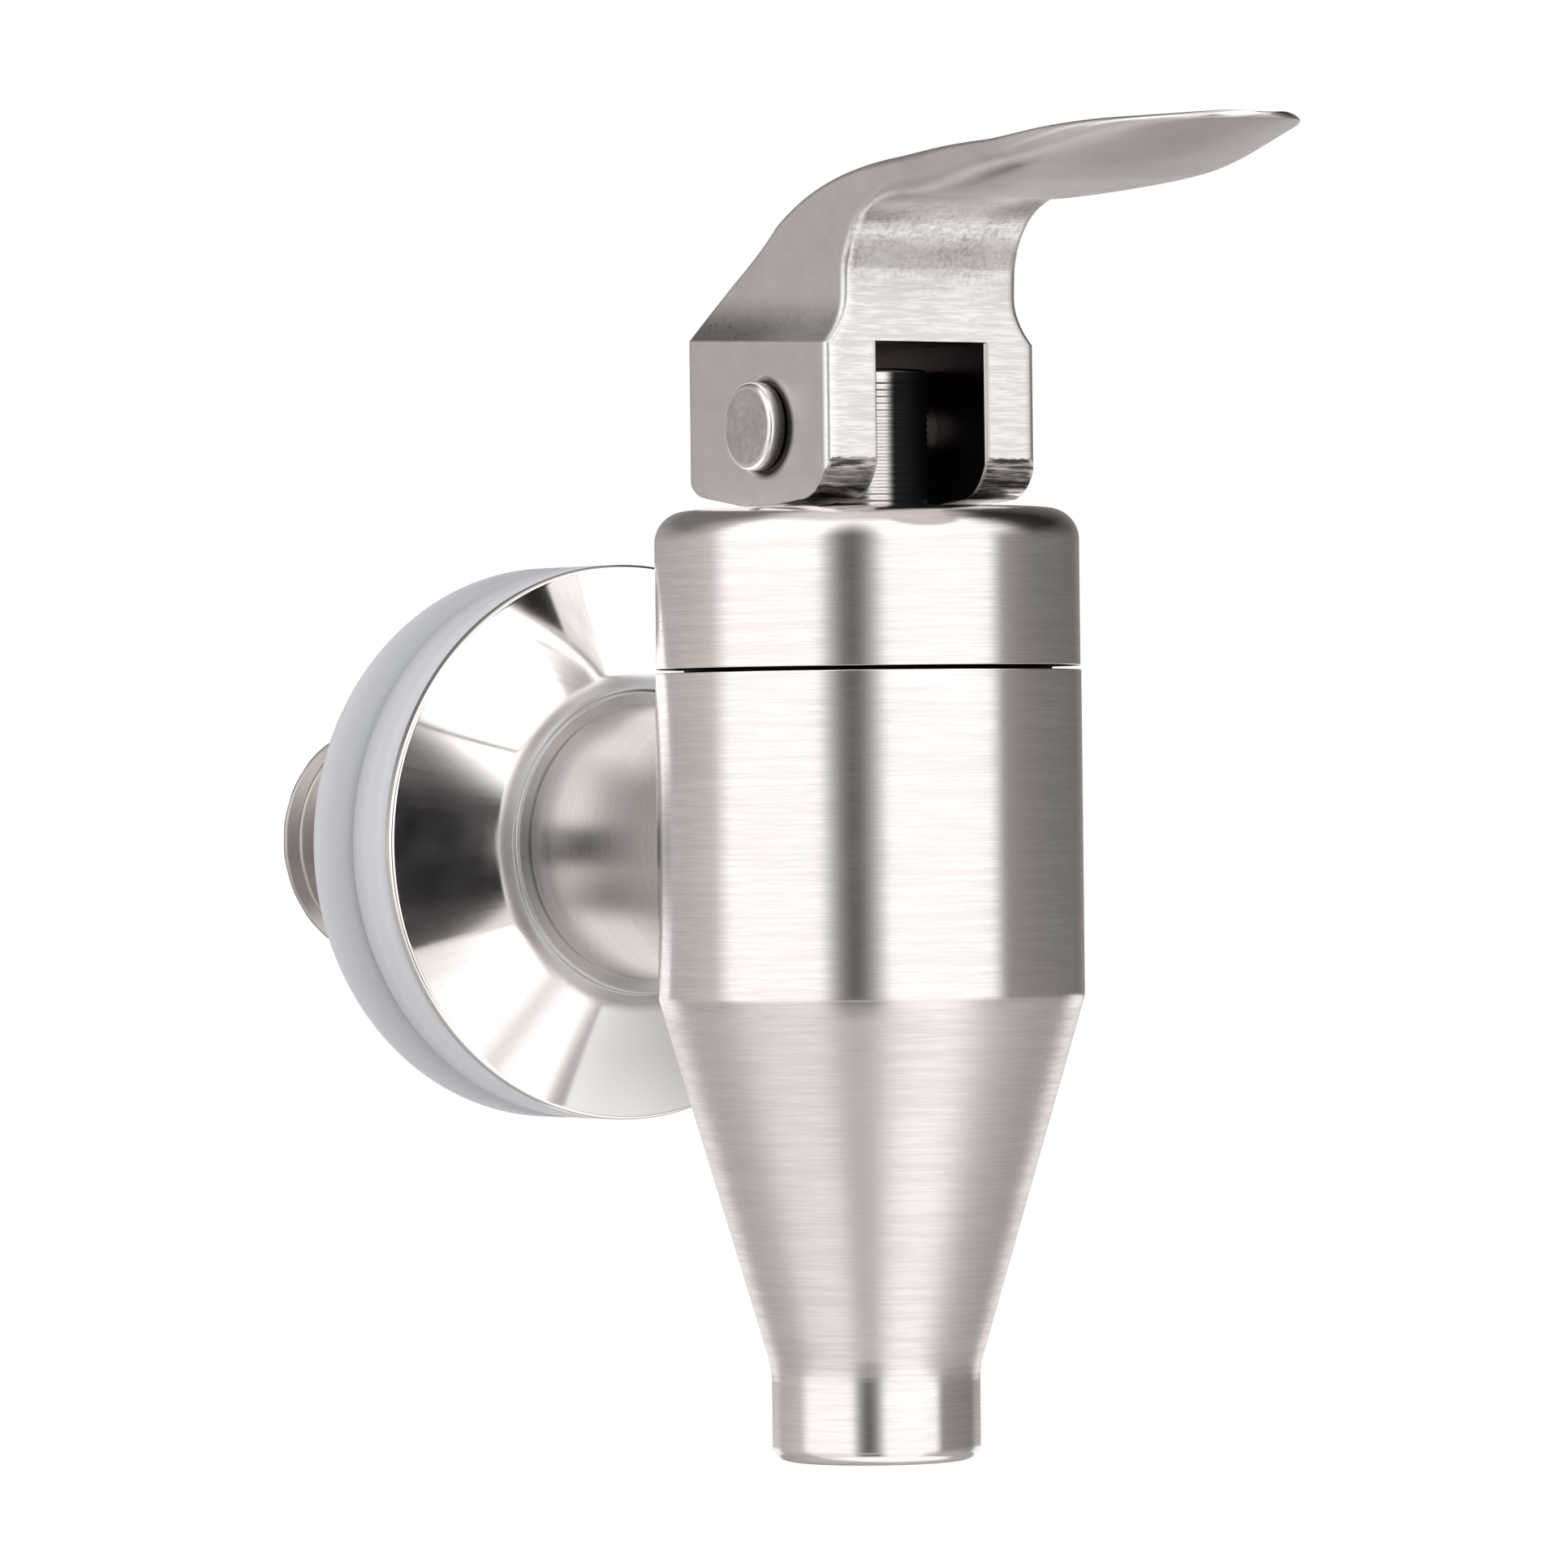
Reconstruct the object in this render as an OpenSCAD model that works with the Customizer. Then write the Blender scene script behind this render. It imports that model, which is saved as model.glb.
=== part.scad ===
// Push-lever drawing spigot for a water filter tank.
// Origin: shank axis at the outer face of the tank wall, behind the front washer.
// +Y points into the tank, +Z up, the lever paddle reaches towards -Y.

/* [Valve body] */
// Outer diameter of the turned body
body_d = 26.8; // [26:0.1:30]
// Height of the body's rim above the shank axis
rim_h = 10.68; // [10:0.1:14]
// Depth of the cylinder's lower end below the shank axis
cone_top = 9.75; // [8:0.25:14]
// Height of the cone
cone_h = 23.1; // [16:0.5:30]
// Outer diameter of the spout
spout_d = 13.1; // [12.5:0.1:16]
// Length of the straight spout
spout_h = 6; // [4:0.5:14]
// Radius of the spout's outer lower edge
spout_edge = 0.9; // [0.3:0.1:1.2]
// Diameter of the outlet bore
outlet_d = 9.5; // [7:0.1:10]
// Diameter of the valve chamber
chamber_d = 20.4; // [19.5:0.1:21]
// Diameter of the thread that holds the cap
cap_thread_d = 23.2; // [22.6:0.1:23.6]
// Height above the shank axis of the ledge under the cup's rim
ledge_h = 6; // [5.8:0.05:6.1]
// Depth of the valve seat below the shank axis
seat_depth = 10.5; // [10:0.1:12]
// Width of the raised seat lip
seat_lip = 1.1; // [0.6:0.1:1.4]
// Height of the seat lip above the chamber's floor
seat_lip_h = 1.4; // [0.8:0.1:1.8]

/* [Cap] */
// Outer diameter of the cap
cap_d = 26.7; // [26:0.1:30]
// Visible height of the cap
cap_h = 9.92; // [9:0.1:13]
// Gap of the seam between the body and the cap
seam = 0.25; // [0.1:0.05:0.5]
// Radius of the cap's top edge
cap_edge = 2; // [1:0.25:2.5]
// Thickness of the cap's roof
cap_roof = 2; // [1.6:0.1:2.6]
// Diameter of the cap's inside
cap_bore_d = 17.2; // [16.6:0.1:18]

/* [Inlet shank and flange] */
// Diameter of the neck tube
neck_d = 17.9; // [17:0.1:19]
// Distance from the body's axis to the neck's shoulder
neck_len = 26.2; // [20:0.5:40]
// Outer diameter of the threaded shank
shank_d = 16; // [15:0.25:16.5]
// Length of the shank behind the neck's shoulder
shank_len = 34.3; // [26:0.5:60]
// Pitch of the shank's thread, which is cut as rings
thread_pitch = 2; // [1:0.25:2.5]
// Depth of the shank's thread
thread_depth = 1; // [0.4:0.05:1.2]
// Diameter of the inlet bore
inlet_d = 9; // [7:0.1:9.4]
// Outer diameter of the spigot that enters the body
spigot_d = 11.4; // [10.8:0.1:11.5]
// Outer diameter of the flange and the washers
flange_d = 36.2; // [32:0.1:44]
// Thickness of the flange over its collar
flange_t = 2.9; // [2.5:0.1:4]
// Thickness of the flange's rim
flange_rim = 0.75; // [0.5:0.05:1.2]
// Diameter of the collar in the flange's centre
collar_d = 19.8; // [19.4:0.1:22]
// Height of the collar's face over the foot of the flared disc
collar_step = 0.6; // [0.5:0.05:0.7]
// Thickness of one silicone washer
washer_t = 5; // [2:0.25:6]
// Radius of the washers' outer edges
washer_edge = 1.4; // [0.4:0.1:1.4]
// Width of the lock nut across its flats
nut_af = 24; // [22:0.5:26]
// Thickness of the lock nut
nut_t = 5; // [4:0.25:8]

/* [Stem, cup and spring] */
// Diameter of the stem
stem_d = 7.8; // [7:0.1:8]
// Height of the stem's top above the pivot
stem_over = 3.6; // [3:0.1:3.8]
// Diameter of the spring's seat collar on the stem
stem_collar_d = 14.6; // [14:0.1:15.4]
// Thickness of the stem's collar
stem_collar_t = 1; // [0.8:0.1:1.6]
// Wall of the silicone seat cup
cup_wall = 1.1; // [0.8:0.1:1.3]
// Thickness of the cup's clamped rim
cup_rim_t = 1.2; // [0.8:0.1:1.4]
// Thickness of the slip ring between the cup's rim and the cap
slip_ring_t = 0.5; // [0.4:0.1:0.8]
// Diameter of the spring's wire
wire_d = 1.2; // [0.9:0.1:1.4]
// Number of turns of the spring
spring_turns = 4.5; // [3.5:0.5:5]
// Thickness of the guide bush's flange
bush_flange_t = 0.8; // [0.6:0.1:1]
// Wall of the guide bush
bush_wall = 1.1; // [0.8:0.1:1.4]

/* [Lever] */
// Width over the lever's two ears
ear_w = 15.7; // [15:0.1:18]
// Reach of the ears in front of the pivot
ear_front = 7.5; // [7:0.1:8.5]
// Reach of the ears behind the pivot
ear_rear = 8.5; // [7.5:0.1:9.5]
// Height of the pivot above the cap's top
pivot_h = 5.15; // [5:0.05:6]
// Gap between the ears and the cap's top
ear_gap = 0.2; // [0.15:0.05:0.35]
// Clearance between the stem and each ear
ear_clear = 0.15; // [0.05:0.05:0.3]
// Height of the slot's roof above the pivot
slot_over = 5.05; // [5:0.05:5.5]
// Length of the rounded front chamfer under the ears
chamfer_y = 2.3; // [1.5:0.1:3]
// Height of the rounded front chamfer under the ears
chamfer_z = 2.8; // [2:0.1:3.5]
// Radius of the ears' rear lower corner
heel_r = 2; // [1:0.1:3]
// Width of the lever's neck
lever_neck_w = 13; // [11.5:0.1:14]
// Width of the paddle
paddle_w = 16.5; // [14.5:0.1:22]
// Length of the paddle's front half
paddle_l = 16.6; // [10:0.1:18]
// Reach of the paddle's tip in front of the pivot
lever_reach = 43; // [38:0.1:48]
// Height of the paddle's tip above the pivot
lever_rise = 17.5; // [16:0.1:21]
// Thickness of the paddle at its rim
paddle_t = 1.6; // [1:0.1:2]
// Depth of the thumb dish in the paddle
dish = 0.6; // [0.2:0.1:1.2]
// Height by which the rim curls up on both sides of the paddle's tip
rim_curl = 0.6; // [0:0.1:1]
// Diameter of the pivot pin
pin_d = 4.2; // [3.6:0.1:4.4]
// Diameter of the pivot pin's head
pin_head_d = 5.5; // [5:0.1:7]
// Height of the pivot pin's head
pin_head_h = 1.1; // [0.8:0.1:1.5]
// Height above the pivot of the crease where the ears end and the neck begins
crease_h = 5.3; // [5:0.1:6]
// Height of the hollow shoulder above the crease
shoulder_h = 3; // [2:0.1:4]

/* [Clearances] */
// Radial clearance of a fixed fit
fit = 0.02; // [0.01:0.01:0.04]
// Radial clearance of a running fit
run = 0.08; // [0.05:0.01:0.1]

/* [Hidden] */
$fn = 96;
steel = [0.78, 0.75, 0.74];
polished = [0.88, 0.88, 0.88];
silicone = [0.74, 0.77, 0.82];

// Places along the shank, counted from the tank wall
flange_back = -washer_t;
shoulder_y = flange_back - flange_t;
axis_y = shoulder_y - neck_len;
shank_end = shoulder_y + shank_len;
// Heights along the body's axis
spout_z = -cone_top - cone_h - spout_h;
cap_z = rim_h + seam;
cap_top = cap_z + cap_h;
seat_z = -seat_depth;
cup_top = ledge_h + cup_rim_t;
cap_foot = cup_top + slip_ring_t;
roof_z = cap_top - cap_roof;
pivot_z = cap_top + pivot_h;
// Radii that meet one another
spigot_r = spigot_d / 2;
edge_break = 0.3;
cup_rim_r = cap_thread_d / 2 - 0.1;
cup_mouth_r = cap_bore_d / 2;
nose_r = outlet_d / 2 + seat_lip;
knob_r = nose_r - cup_wall - 2 * fit;
waist_r = knob_r * 0.62;
bush_r = stem_d / 2 + run + bush_wall;
// Heights of the stem's collar, the foot and the spring
collar_z = cap_foot + 0.2;
spring_z = collar_z + stem_collar_t;
spring_top = roof_z - bush_flange_t;
foot_z = seat_z + cup_wall + fit;
knob_h = 4.2;
waist_h = 1.4;
stem_foot_z = foot_z + knob_h + waist_h;
stud_r = 2;
stud_h = 4.5;
// The ears, in the pivot's own frame: y to the rear, z up
ear_bottom = ear_gap - pivot_h;
ear_edge = 0.5;
lap = 0.3;
slot_w = stem_d + 2 * ear_clear;
// Last station of the lever's skin, just short of the paddle's tip
tip_station = 0.9985;
// Outline of the lever's section: [side, cos, level, sin] of each point, side and level from -1 to 1
flat_steps = [-2 / 3, -1 / 3, 0, 1 / 3, 2 / 3];
bend_steps = [0, 30, 60, 90];
ring_outline = concat(
  [for (u = flat_steps) [u, 0, -1, -1]],
  [for (a = bend_steps) [1, sin(a), -1, -cos(a)]],
  [for (a = bend_steps) [1, cos(a), 1, sin(a)]],
  [for (u = flat_steps) [-u, 0, 1, 1]],
  [for (a = bend_steps) [-1, -sin(a), 1, cos(a)]],
  [for (a = bend_steps) [-1, -cos(a), -1, -sin(a)]]);

// Points of an arc about (x, y) from angle a0 to a1
function arc(x, y, r, a0, a1, n = 8) =
  [for (i = [0:n]) let (a = a0 + (a1 - a0) * i / n) [x + r * cos(a), y + r * sin(a)]];
// Point at t on the cubic curve with the four control points p
function curve(p, t) =
  pow(1 - t, 3) * p[0] + 3 * t * pow(1 - t, 2) * p[1] + 3 * t * t * (1 - t) * p[2] + pow(t, 3) * p[3];
// Mean of a list of numbers
function mean(list) = list * [for (v = list) 1] / len(list);
// Smooth step from 0 at a to 1 at b
function ease(x, a, b) = let (t = min(1, max(0, (x - a) / (b - a)))) t * t * (3 - 2 * t);

// A turned piece about the body's axis, from a list of [radius, height]
module turned(points) {
  translate([0, axis_y, 0])
    rotate_extrude()
      polygon(points);
}

// A turned piece about the shank's axis, from a list of [radius, y]
module turned_shank(points) {
  rotate([-90, 0, 0])
    rotate_extrude()
      polygon(points);
}

// A cylinder along the shank's axis from y0 to y1
module rod_y(r, y0, y1) {
  translate([0, y0, 0])
    rotate([-90, 0, 0])
      cylinder(r = r, h = y1 - y0);
}

// A cylinder along X through the pivot from x0 to x1
module rod_x(r, x0, x1) {
  translate([x0, axis_y, pivot_z])
    rotate([0, 90, 0])
      cylinder(r = r, h = x1 - x0);
}

module valve_body() {
  body_r = body_d / 2;
  spout_r = spout_d / 2;
  bore_r = outlet_d / 2;
  floor_z = seat_z - seat_lip_h;
  groove_r = nose_r + 0.9;
  color(steel)
    difference() {
      turned(concat(
        [[bore_r, spout_z + edge_break], [bore_r + edge_break, spout_z]],
        arc(spout_r - spout_edge, spout_z + spout_edge, spout_edge, -90, 0, 6),
        [[spout_r, -cone_top - cone_h - 0.2],
         [spout_r - 0.1, -cone_top - cone_h],
         [body_r, -cone_top],
         [body_r, rim_h - edge_break],
         [body_r - edge_break, rim_h],
         [cap_thread_d / 2, rim_h],
         [cap_thread_d / 2, ledge_h],
         [chamber_d / 2, ledge_h],
         [chamber_d / 2, seat_z + 2.6],
         [groove_r, floor_z],
         [nose_r, floor_z],
         [nose_r, seat_z],
         [bore_r, seat_z]]));
      rod_y(spigot_r + fit, axis_y, axis_y + body_r + 1);
    }
}

module inlet_shank() {
  shank_r = shank_d / 2;
  bore_r = inlet_d / 2;
  spigot_y = axis_y + chamber_d / 2 + 0.6;
  lead = 1;
  flank = thread_pitch * 0.4;
  turns = floor((shank_len - lead) / thread_pitch - 1);
  last_groove = shank_end - lead - thread_pitch * 0.6;
  color(steel)
    union() {
      difference() {
        rod_y(neck_d / 2, axis_y + 2, shoulder_y);
        translate([0, axis_y, -body_d])
          cylinder(d = body_d + 2 * fit, h = 2 * body_d);
        rod_y(bore_r, axis_y, shoulder_y + 1);
      }
      turned_shank(concat(
        [[bore_r, spigot_y], [spigot_r, spigot_y], [spigot_r, shoulder_y], [shank_r, shoulder_y]],
        [for (i = [turns - 1:-1:0])
          let (y = last_groove - i * thread_pitch)
          each [[shank_r, y - flank], [shank_r - thread_depth, y], [shank_r, y + flank]]],
        [[shank_r, shank_end - lead], [shank_r - lead, shank_end], [bore_r, shank_end]]));
    }
}

// Turned and polished disc that covers the tank's hole: a collar, a soft corner and a flare that flattens out
module flange() {
  rim_r = flange_d / 2;
  collar_r = collar_d / 2;
  edge = 0.25;
  corner_w = 1.2;
  foot = [collar_r + corner_w, shoulder_y + collar_step];
  rim = [rim_r - 0.3, flange_back - flange_rim];
  third = (rim[0] - foot[0]) / 3;
  slope = (rim[1] - foot[1]) / (rim[0] - foot[0]);
  color(polished)
    turned_shank(concat(
      [[shank_d / 2 + fit, flange_back], [shank_d / 2 + fit, shoulder_y]],
      arc(collar_r - edge, shoulder_y + edge, edge, -90, 0, 4),
      [for (i = [1:6]) curve([[collar_r, shoulder_y + edge],
                              [collar_r, shoulder_y + collar_step * 0.7],
                              foot - corner_w / 2 * [1, slope * 1.27],
                              foot], i / 6)],
      [for (i = [1:8]) curve([foot,
                              foot + third * [1, slope * 1.27],
                              rim - third * [1, slope * 0.72],
                              rim], i / 8)],
      [[rim_r, rim[1] + 0.3], [rim_r, flange_back]]));
}

// A flat silicone ring with rounded outer edges, from y0 along the shank
module washer(y0) {
  r = flange_d / 2;
  e = min(washer_edge, washer_t / 2);
  color(silicone)
    turned_shank(concat(
      [[shank_d / 2 + fit, y0 + washer_t], [shank_d / 2 + fit, y0]],
      arc(r - e, y0 + e, e, -90, 0, 6),
      arc(r - e, y0 + washer_t - e, e, 0, 90, 6)));
}

module front_washer() {
  washer(flange_back);
}

module rear_washer() {
  washer(0);
}

module lock_nut() {
  corner_r = nut_af / sqrt(3);
  chamfer = corner_r - nut_af / 2;
  slope = 0.58;
  color(steel)
    difference() {
      intersection() {
        translate([0, washer_t, 0])
          rotate([-90, 0, 0])
            rotate(30)
              cylinder(r = corner_r, h = nut_t, $fn = 6);
        turned_shank([[0, washer_t],
          [nut_af / 2, washer_t],
          [corner_r, washer_t + chamfer * slope],
          [corner_r, washer_t + nut_t - chamfer * slope],
          [nut_af / 2, washer_t + nut_t],
          [0, washer_t + nut_t]]);
      }
      rod_y(shank_d / 2 + fit, washer_t - 1, washer_t + nut_t + 1);
    }
}

module bonnet_cap() {
  cap_r = cap_d / 2;
  thread_r = cap_thread_d / 2 - fit;
  color(steel)
    turned(concat(
      [[bush_r + fit, cap_top], [bush_r + fit, roof_z], [cap_bore_d / 2, roof_z], [cap_bore_d / 2, cap_foot],
       [thread_r, cap_foot], [thread_r, cap_z], [cap_r - edge_break, cap_z], [cap_r, cap_z + edge_break]],
      arc(cap_r - cap_edge, cap_top - cap_edge, cap_edge, 0, 90, 10)));
}

// Plain plastic bush that guides the stem through the cap's roof
module stem_bush() {
  bore_r = stem_d / 2 + run;
  color("white")
    turned([[bore_r, spring_top],
      [stem_collar_d / 2, spring_top],
      [stem_collar_d / 2, roof_z],
      [bush_r, roof_z],
      [bush_r, cap_top],
      [bore_r, cap_top]]);
}

// Thin ring that lets the cap turn down without twisting the cup's rim
module slip_ring() {
  color("white")
    turned([[cup_mouth_r, cup_top], [cup_rim_r, cup_top], [cup_rim_r, cap_foot], [cup_mouth_r, cap_foot]]);
}

// Bell-shaped silicone cup: its rim is clamped, its nose closes the seat
module seat_cup() {
  bell_r = cup_mouth_r + cup_wall * 0.4;
  inner_r = knob_r + fit;
  lip_z = foot_z + knob_h + 2 * fit;
  lip_top = lip_z + waist_h * 0.7;
  color(silicone)
    turned(concat(
      [[0, seat_z]],
      arc(nose_r - 0.8, seat_z + 0.8, 0.8, -90, 0, 4),
      [[nose_r, lip_top],
       [bell_r, ledge_h - 1.4],
       [bell_r, ledge_h],
       [cup_rim_r, ledge_h],
       [cup_rim_r, cup_top],
       [cup_mouth_r, cup_top],
       [bell_r - cup_wall, ledge_h - 1.2],
       [inner_r, lip_top + 0.6],
       [waist_r + 2 * fit, lip_top],
       [waist_r + 2 * fit, lip_z],
       [inner_r, lip_z],
       [inner_r, foot_z - fit],
       [0, foot_z - fit]]));
}

// One ring of the spring's wire at turn angle a and height z
function wire_ring(r, a, z, n) =
  [for (k = [0:n - 1]) let (b = 360 * k / n, q = r + wire_d / 2 * cos(b))
    [q * cos(a), q * sin(a), z + wire_d / 2 * sin(b)]];

module return_spring() {
  sides = 8;
  steps = 20;
  mean_r = bush_r + wire_d / 2 + 0.35;
  rings = round(spring_turns * steps);
  z0 = spring_z + wire_d / 2;
  z1 = spring_top - wire_d / 2;
  points = [for (i = [0:rings]) each wire_ring(mean_r, 360 * i / steps, z0 + (z1 - z0) * i / rings, sides)];
  walls = [for (i = [0:rings - 1], k = [0:sides - 1])
    let (a = i * sides + k, b = i * sides + (k + 1) % sides)
    each [[a, b, a + sides], [b, b + sides, a + sides]]];
  ends = [[for (k = [sides - 1:-1:0]) k], [for (k = [0:sides - 1]) rings * sides + k]];
  color("silver")
    translate([0, axis_y, 0])
      polyhedron(points, concat(walls, ends), convexity = 10);
}

module stem() {
  r = stem_d / 2;
  top = pivot_z + stem_over;
  color(steel)
    difference() {
      turned([[0, stem_foot_z + stud_h],
        [stud_r + fit, stem_foot_z + stud_h],
        [stud_r + fit, stem_foot_z],
        [r, stem_foot_z],
        [r, collar_z],
        [stem_collar_d / 2, collar_z],
        [stem_collar_d / 2, spring_z],
        [r, spring_z],
        [r, top - edge_break],
        [r - edge_break, top],
        [0, top]]);
      rod_x(pin_d / 2 + run, -stem_d, stem_d);
    }
}

// Screwed foot whose knob pulls the cup's nose off the seat
module stem_foot() {
  bevel = 0.6;
  color("white")
    turned([[0, foot_z],
      [knob_r - bevel, foot_z],
      [knob_r, foot_z + bevel],
      [knob_r, foot_z + knob_h - bevel / 2],
      [knob_r - bevel / 2, foot_z + knob_h],
      [waist_r, foot_z + knob_h],
      [waist_r, stem_foot_z],
      [stud_r, stem_foot_z],
      [stud_r, stem_foot_z + stud_h - 0.3],
      [0, stem_foot_z + stud_h - 0.3]]);
}

module pivot_pin() {
  half = ear_w / 2;
  bevel = 0.25;
  color(polished)
    translate([0, axis_y, pivot_z])
      rotate([0, -90, 0])
        rotate_extrude()
          polygon([[0, -half - pin_head_h / 2],
            [pin_d / 2 - bevel, -half - pin_head_h / 2],
            [pin_d / 2, -half - pin_head_h / 2 + bevel],
            [pin_d / 2, half + fit],
            [pin_head_d / 2, half + fit],
            [pin_head_d / 2, half + pin_head_h - bevel],
            [pin_head_d / 2 - bevel, half + pin_head_h],
            [0, half + pin_head_h]]);
}

// Height of the crease between the ears and the neck, a little higher at the rear
function crease(y) = crease_h + 0.045 * y;

// Side outline of the ears about the pivot, as [y, z]
function ear_outline() = concat(
  [[-ear_front, crease(-ear_front)]],
  [for (i = [0:4]) curve([[-ear_front, ear_bottom + chamfer_z],
                          [chamfer_y * 0.2 - ear_front, ear_bottom + chamfer_z * 0.57],
                          [chamfer_y * 0.48 - ear_front, ear_bottom + chamfer_z * 0.25],
                          [chamfer_y - ear_front, ear_bottom + 0.35]], i / 4)],
  [[-2, ear_bottom + 0.08], [2, ear_bottom], [ear_rear - heel_r - 0.4, ear_bottom + 0.6]],
  arc(ear_rear - heel_r, ear_bottom + 0.7 + heel_r, heel_r, -80, 0, 6),
  [[ear_rear, crease(ear_rear)]]);

// Front and underside line of the lever above the ears: stations t from 0 to 3
function under_line(t) =
  t < 1 ? curve([[-ear_front, crease(-ear_front) - lap], [-ear_front, crease(-ear_front) + 1.2],
                 [-ear_front, lever_rise - 9.4], [-ear_front - 0.1, lever_rise - 7.9]], t)
  : t < 2 ? curve([[-ear_front - 0.1, lever_rise - 7.9], [-ear_front - 0.45, lever_rise - 6.2],
                   [-ear_front - 1.8, lever_rise - 3.8], [-ear_front - 5.1, lever_rise - 3.7]], t - 1)
  : curve([[-ear_front - 5.1, lever_rise - 3.7], [-lever_reach * 0.56, lever_rise - 4.15],
           [-lever_reach * 0.77, lever_rise - paddle_t + 0.53], [-lever_reach, lever_rise - paddle_t]], t - 2);

// Rear and top line of the lever above the ears: stations t from 0 to 3
function top_line(t) =
  t < 1 ? curve([[ear_rear, crease(ear_rear) - lap], [ear_rear - 0.1, crease(ear_rear) + 2.5],
                 [ear_rear - 4.2, lever_rise - 8.3], [0.45, lever_rise - 5]], t)
  : t < 2 ? curve([[0.45, lever_rise - 5], [-2.9, lever_rise - 2.9],
                   [-7, lever_rise - 1.75], [-ear_front - 5.2, lever_rise - 1.4]], t - 1)
  : curve([[-ear_front - 5.2, lever_rise - 1.4], [-lever_reach * 0.465, lever_rise - 0.9],
           [-lever_reach * 0.674, lever_rise - 0.87], [-lever_reach, lever_rise]], t - 2);

// Half width of the lever at the place (y, z) about the pivot
function half_width(y, z) =
  let (above = min(1, max(0, (z - crease(y)) / shoulder_h)),
       neck = (lever_neck_w + (ear_w - lever_neck_w) * pow(1 - above, 2)) / 2,
       widest = lever_reach - paddle_l,
       spread = ease(-y, ear_front + 5.7, widest),
       nose = sqrt(max(0, 1 - pow(max(0, -y - widest) / paddle_l, 2))))
  (neck + (paddle_w - lever_neck_w) / 2 * spread) * nose;

// Corner radius of the lever's section at station t
function section_corner(t) = t < 2 ? ear_edge : ear_edge + 0.4 * ease(t, 2, 2.6);

// One closed ring of the lever at station t: a rounded bar, dished where the paddle is
function lever_ring(t) =
  let (low = under_line(t),
       high = top_line(t),
       mid = (low + high) / 2,
       dir = (high - low) / norm(high - low),
       to_tip = lever_reach + mid[0],
       rim_r = paddle_t / 2,
       taper = to_tip >= rim_r ? 1 : sqrt(1 - pow((rim_r - to_tip) / rim_r, 2)),
       h = norm(high - low) * taper,
       full = half_width(mid[0], mid[1]),
       corner = min(h * 0.49, full * 0.9, section_corner(t)),
       sag = dish * ease(-mid[0], ear_front + 8, lever_reach * 0.62) * pow(2 * full / paddle_w, 2),
       curl = rim_curl * ease(-mid[0], lever_reach - 14, lever_reach - 2.5)
              * (1 - ease(-mid[0], lever_reach - 2.1, lever_reach - 0.4)))
  [for (q = ring_outline)
    let (at = mid + dir * (q[2] * (h / 2 - corner) + q[3] * corner),
         w = t > 2 ? full : half_width(at[0], at[1]),
         x = q[0] * (w - corner) + q[1] * corner,
         side = pow(x / w, 2))
    [x, at[0], at[1] - sag * (1 - side) + curl * side]];

// The cast neck and paddle, one skin carried along the two side lines
module lever_blade() {
  stations = concat([for (i = [0:7]) i / 8],
                    [for (i = [0:7]) 1 + i / 8],
                    [for (i = [0:17]) 2 + tip_station * (1 - pow(1 - i / 17, 2))]);
  rings = [for (t = stations) lever_ring(t)];
  n = len(ring_outline);
  m = len(rings);
  middles = [for (r = [rings[0], rings[m - 1]]) [for (a = [0:2]) mean([for (p = r) p[a]])]];
  walls = [for (i = [0:m - 2], k = [0:n - 1])
    let (a = i * n + k, b = i * n + (k + 1) % n)
    each [[a, a + n, b], [b, a + n, b + n]]];
  ends = [for (k = [0:n - 1])
    let (b = (k + 1) % n)
    each [[m * n, k, b], [m * n + 1, (m - 1) * n + b, (m - 1) * n + k]]];
  polyhedron(concat([for (r = rings) each r], middles), concat(walls, ends), convexity = 6);
}

// The two flat ears as one block, its upright edges rounded
module lever_ears() {
  half = ear_w / 2;
  intersection() {
    translate([-half, 0, 0])
      rotate([90, 0, 90])
        linear_extrude(ear_w)
          polygon(ear_outline());
    translate([0, 0, ear_bottom])
      linear_extrude(2 * crease_h - ear_bottom)
        polygon(concat(
          arc(half - ear_edge, ear_rear - ear_edge, ear_edge, 0, 90, 3),
          arc(ear_edge - half, ear_rear - ear_edge, ear_edge, 90, 180, 3),
          arc(ear_edge - half, ear_edge - ear_front, ear_edge, 180, 270, 3),
          arc(half - ear_edge, ear_edge - ear_front, ear_edge, 270, 360, 3)));
  }
}

module lever() {
  color(steel)
    difference() {
      translate([0, axis_y, pivot_z])
        union() {
          lever_blade();
          lever_ears();
        }
      translate([-slot_w / 2, axis_y - 2 * ear_front, pivot_z + ear_bottom - 1])
        cube([slot_w, 4 * ear_front, slot_over - ear_bottom + 1]);
      rod_x(pin_d / 2 + fit, -ear_w, ear_w);
    }
}

valve_body();
inlet_shank();
flange();
front_washer();
rear_washer();
lock_nut();
bonnet_cap();
stem_bush();
slip_ring();
seat_cup();
return_spring();
stem();
stem_foot();
pivot_pin();
lever();
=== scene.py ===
"""Dresses a push-lever drawing spigot for a water filter tank.

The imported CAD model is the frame. Every visible piece is worked out here again as a fine
surface in the same place, and gets a procedural finish. Lengths are in millimetres in this
file and become metres when a mesh is made. The spigot's axis runs up through y = AXIS_Y, and
the shank lies along Y.
"""

import logging
import math
from collections.abc import Callable
from dataclasses import dataclass
from enum import Enum

import bmesh
import bpy
import numpy as np
from mathutils import Matrix

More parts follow.
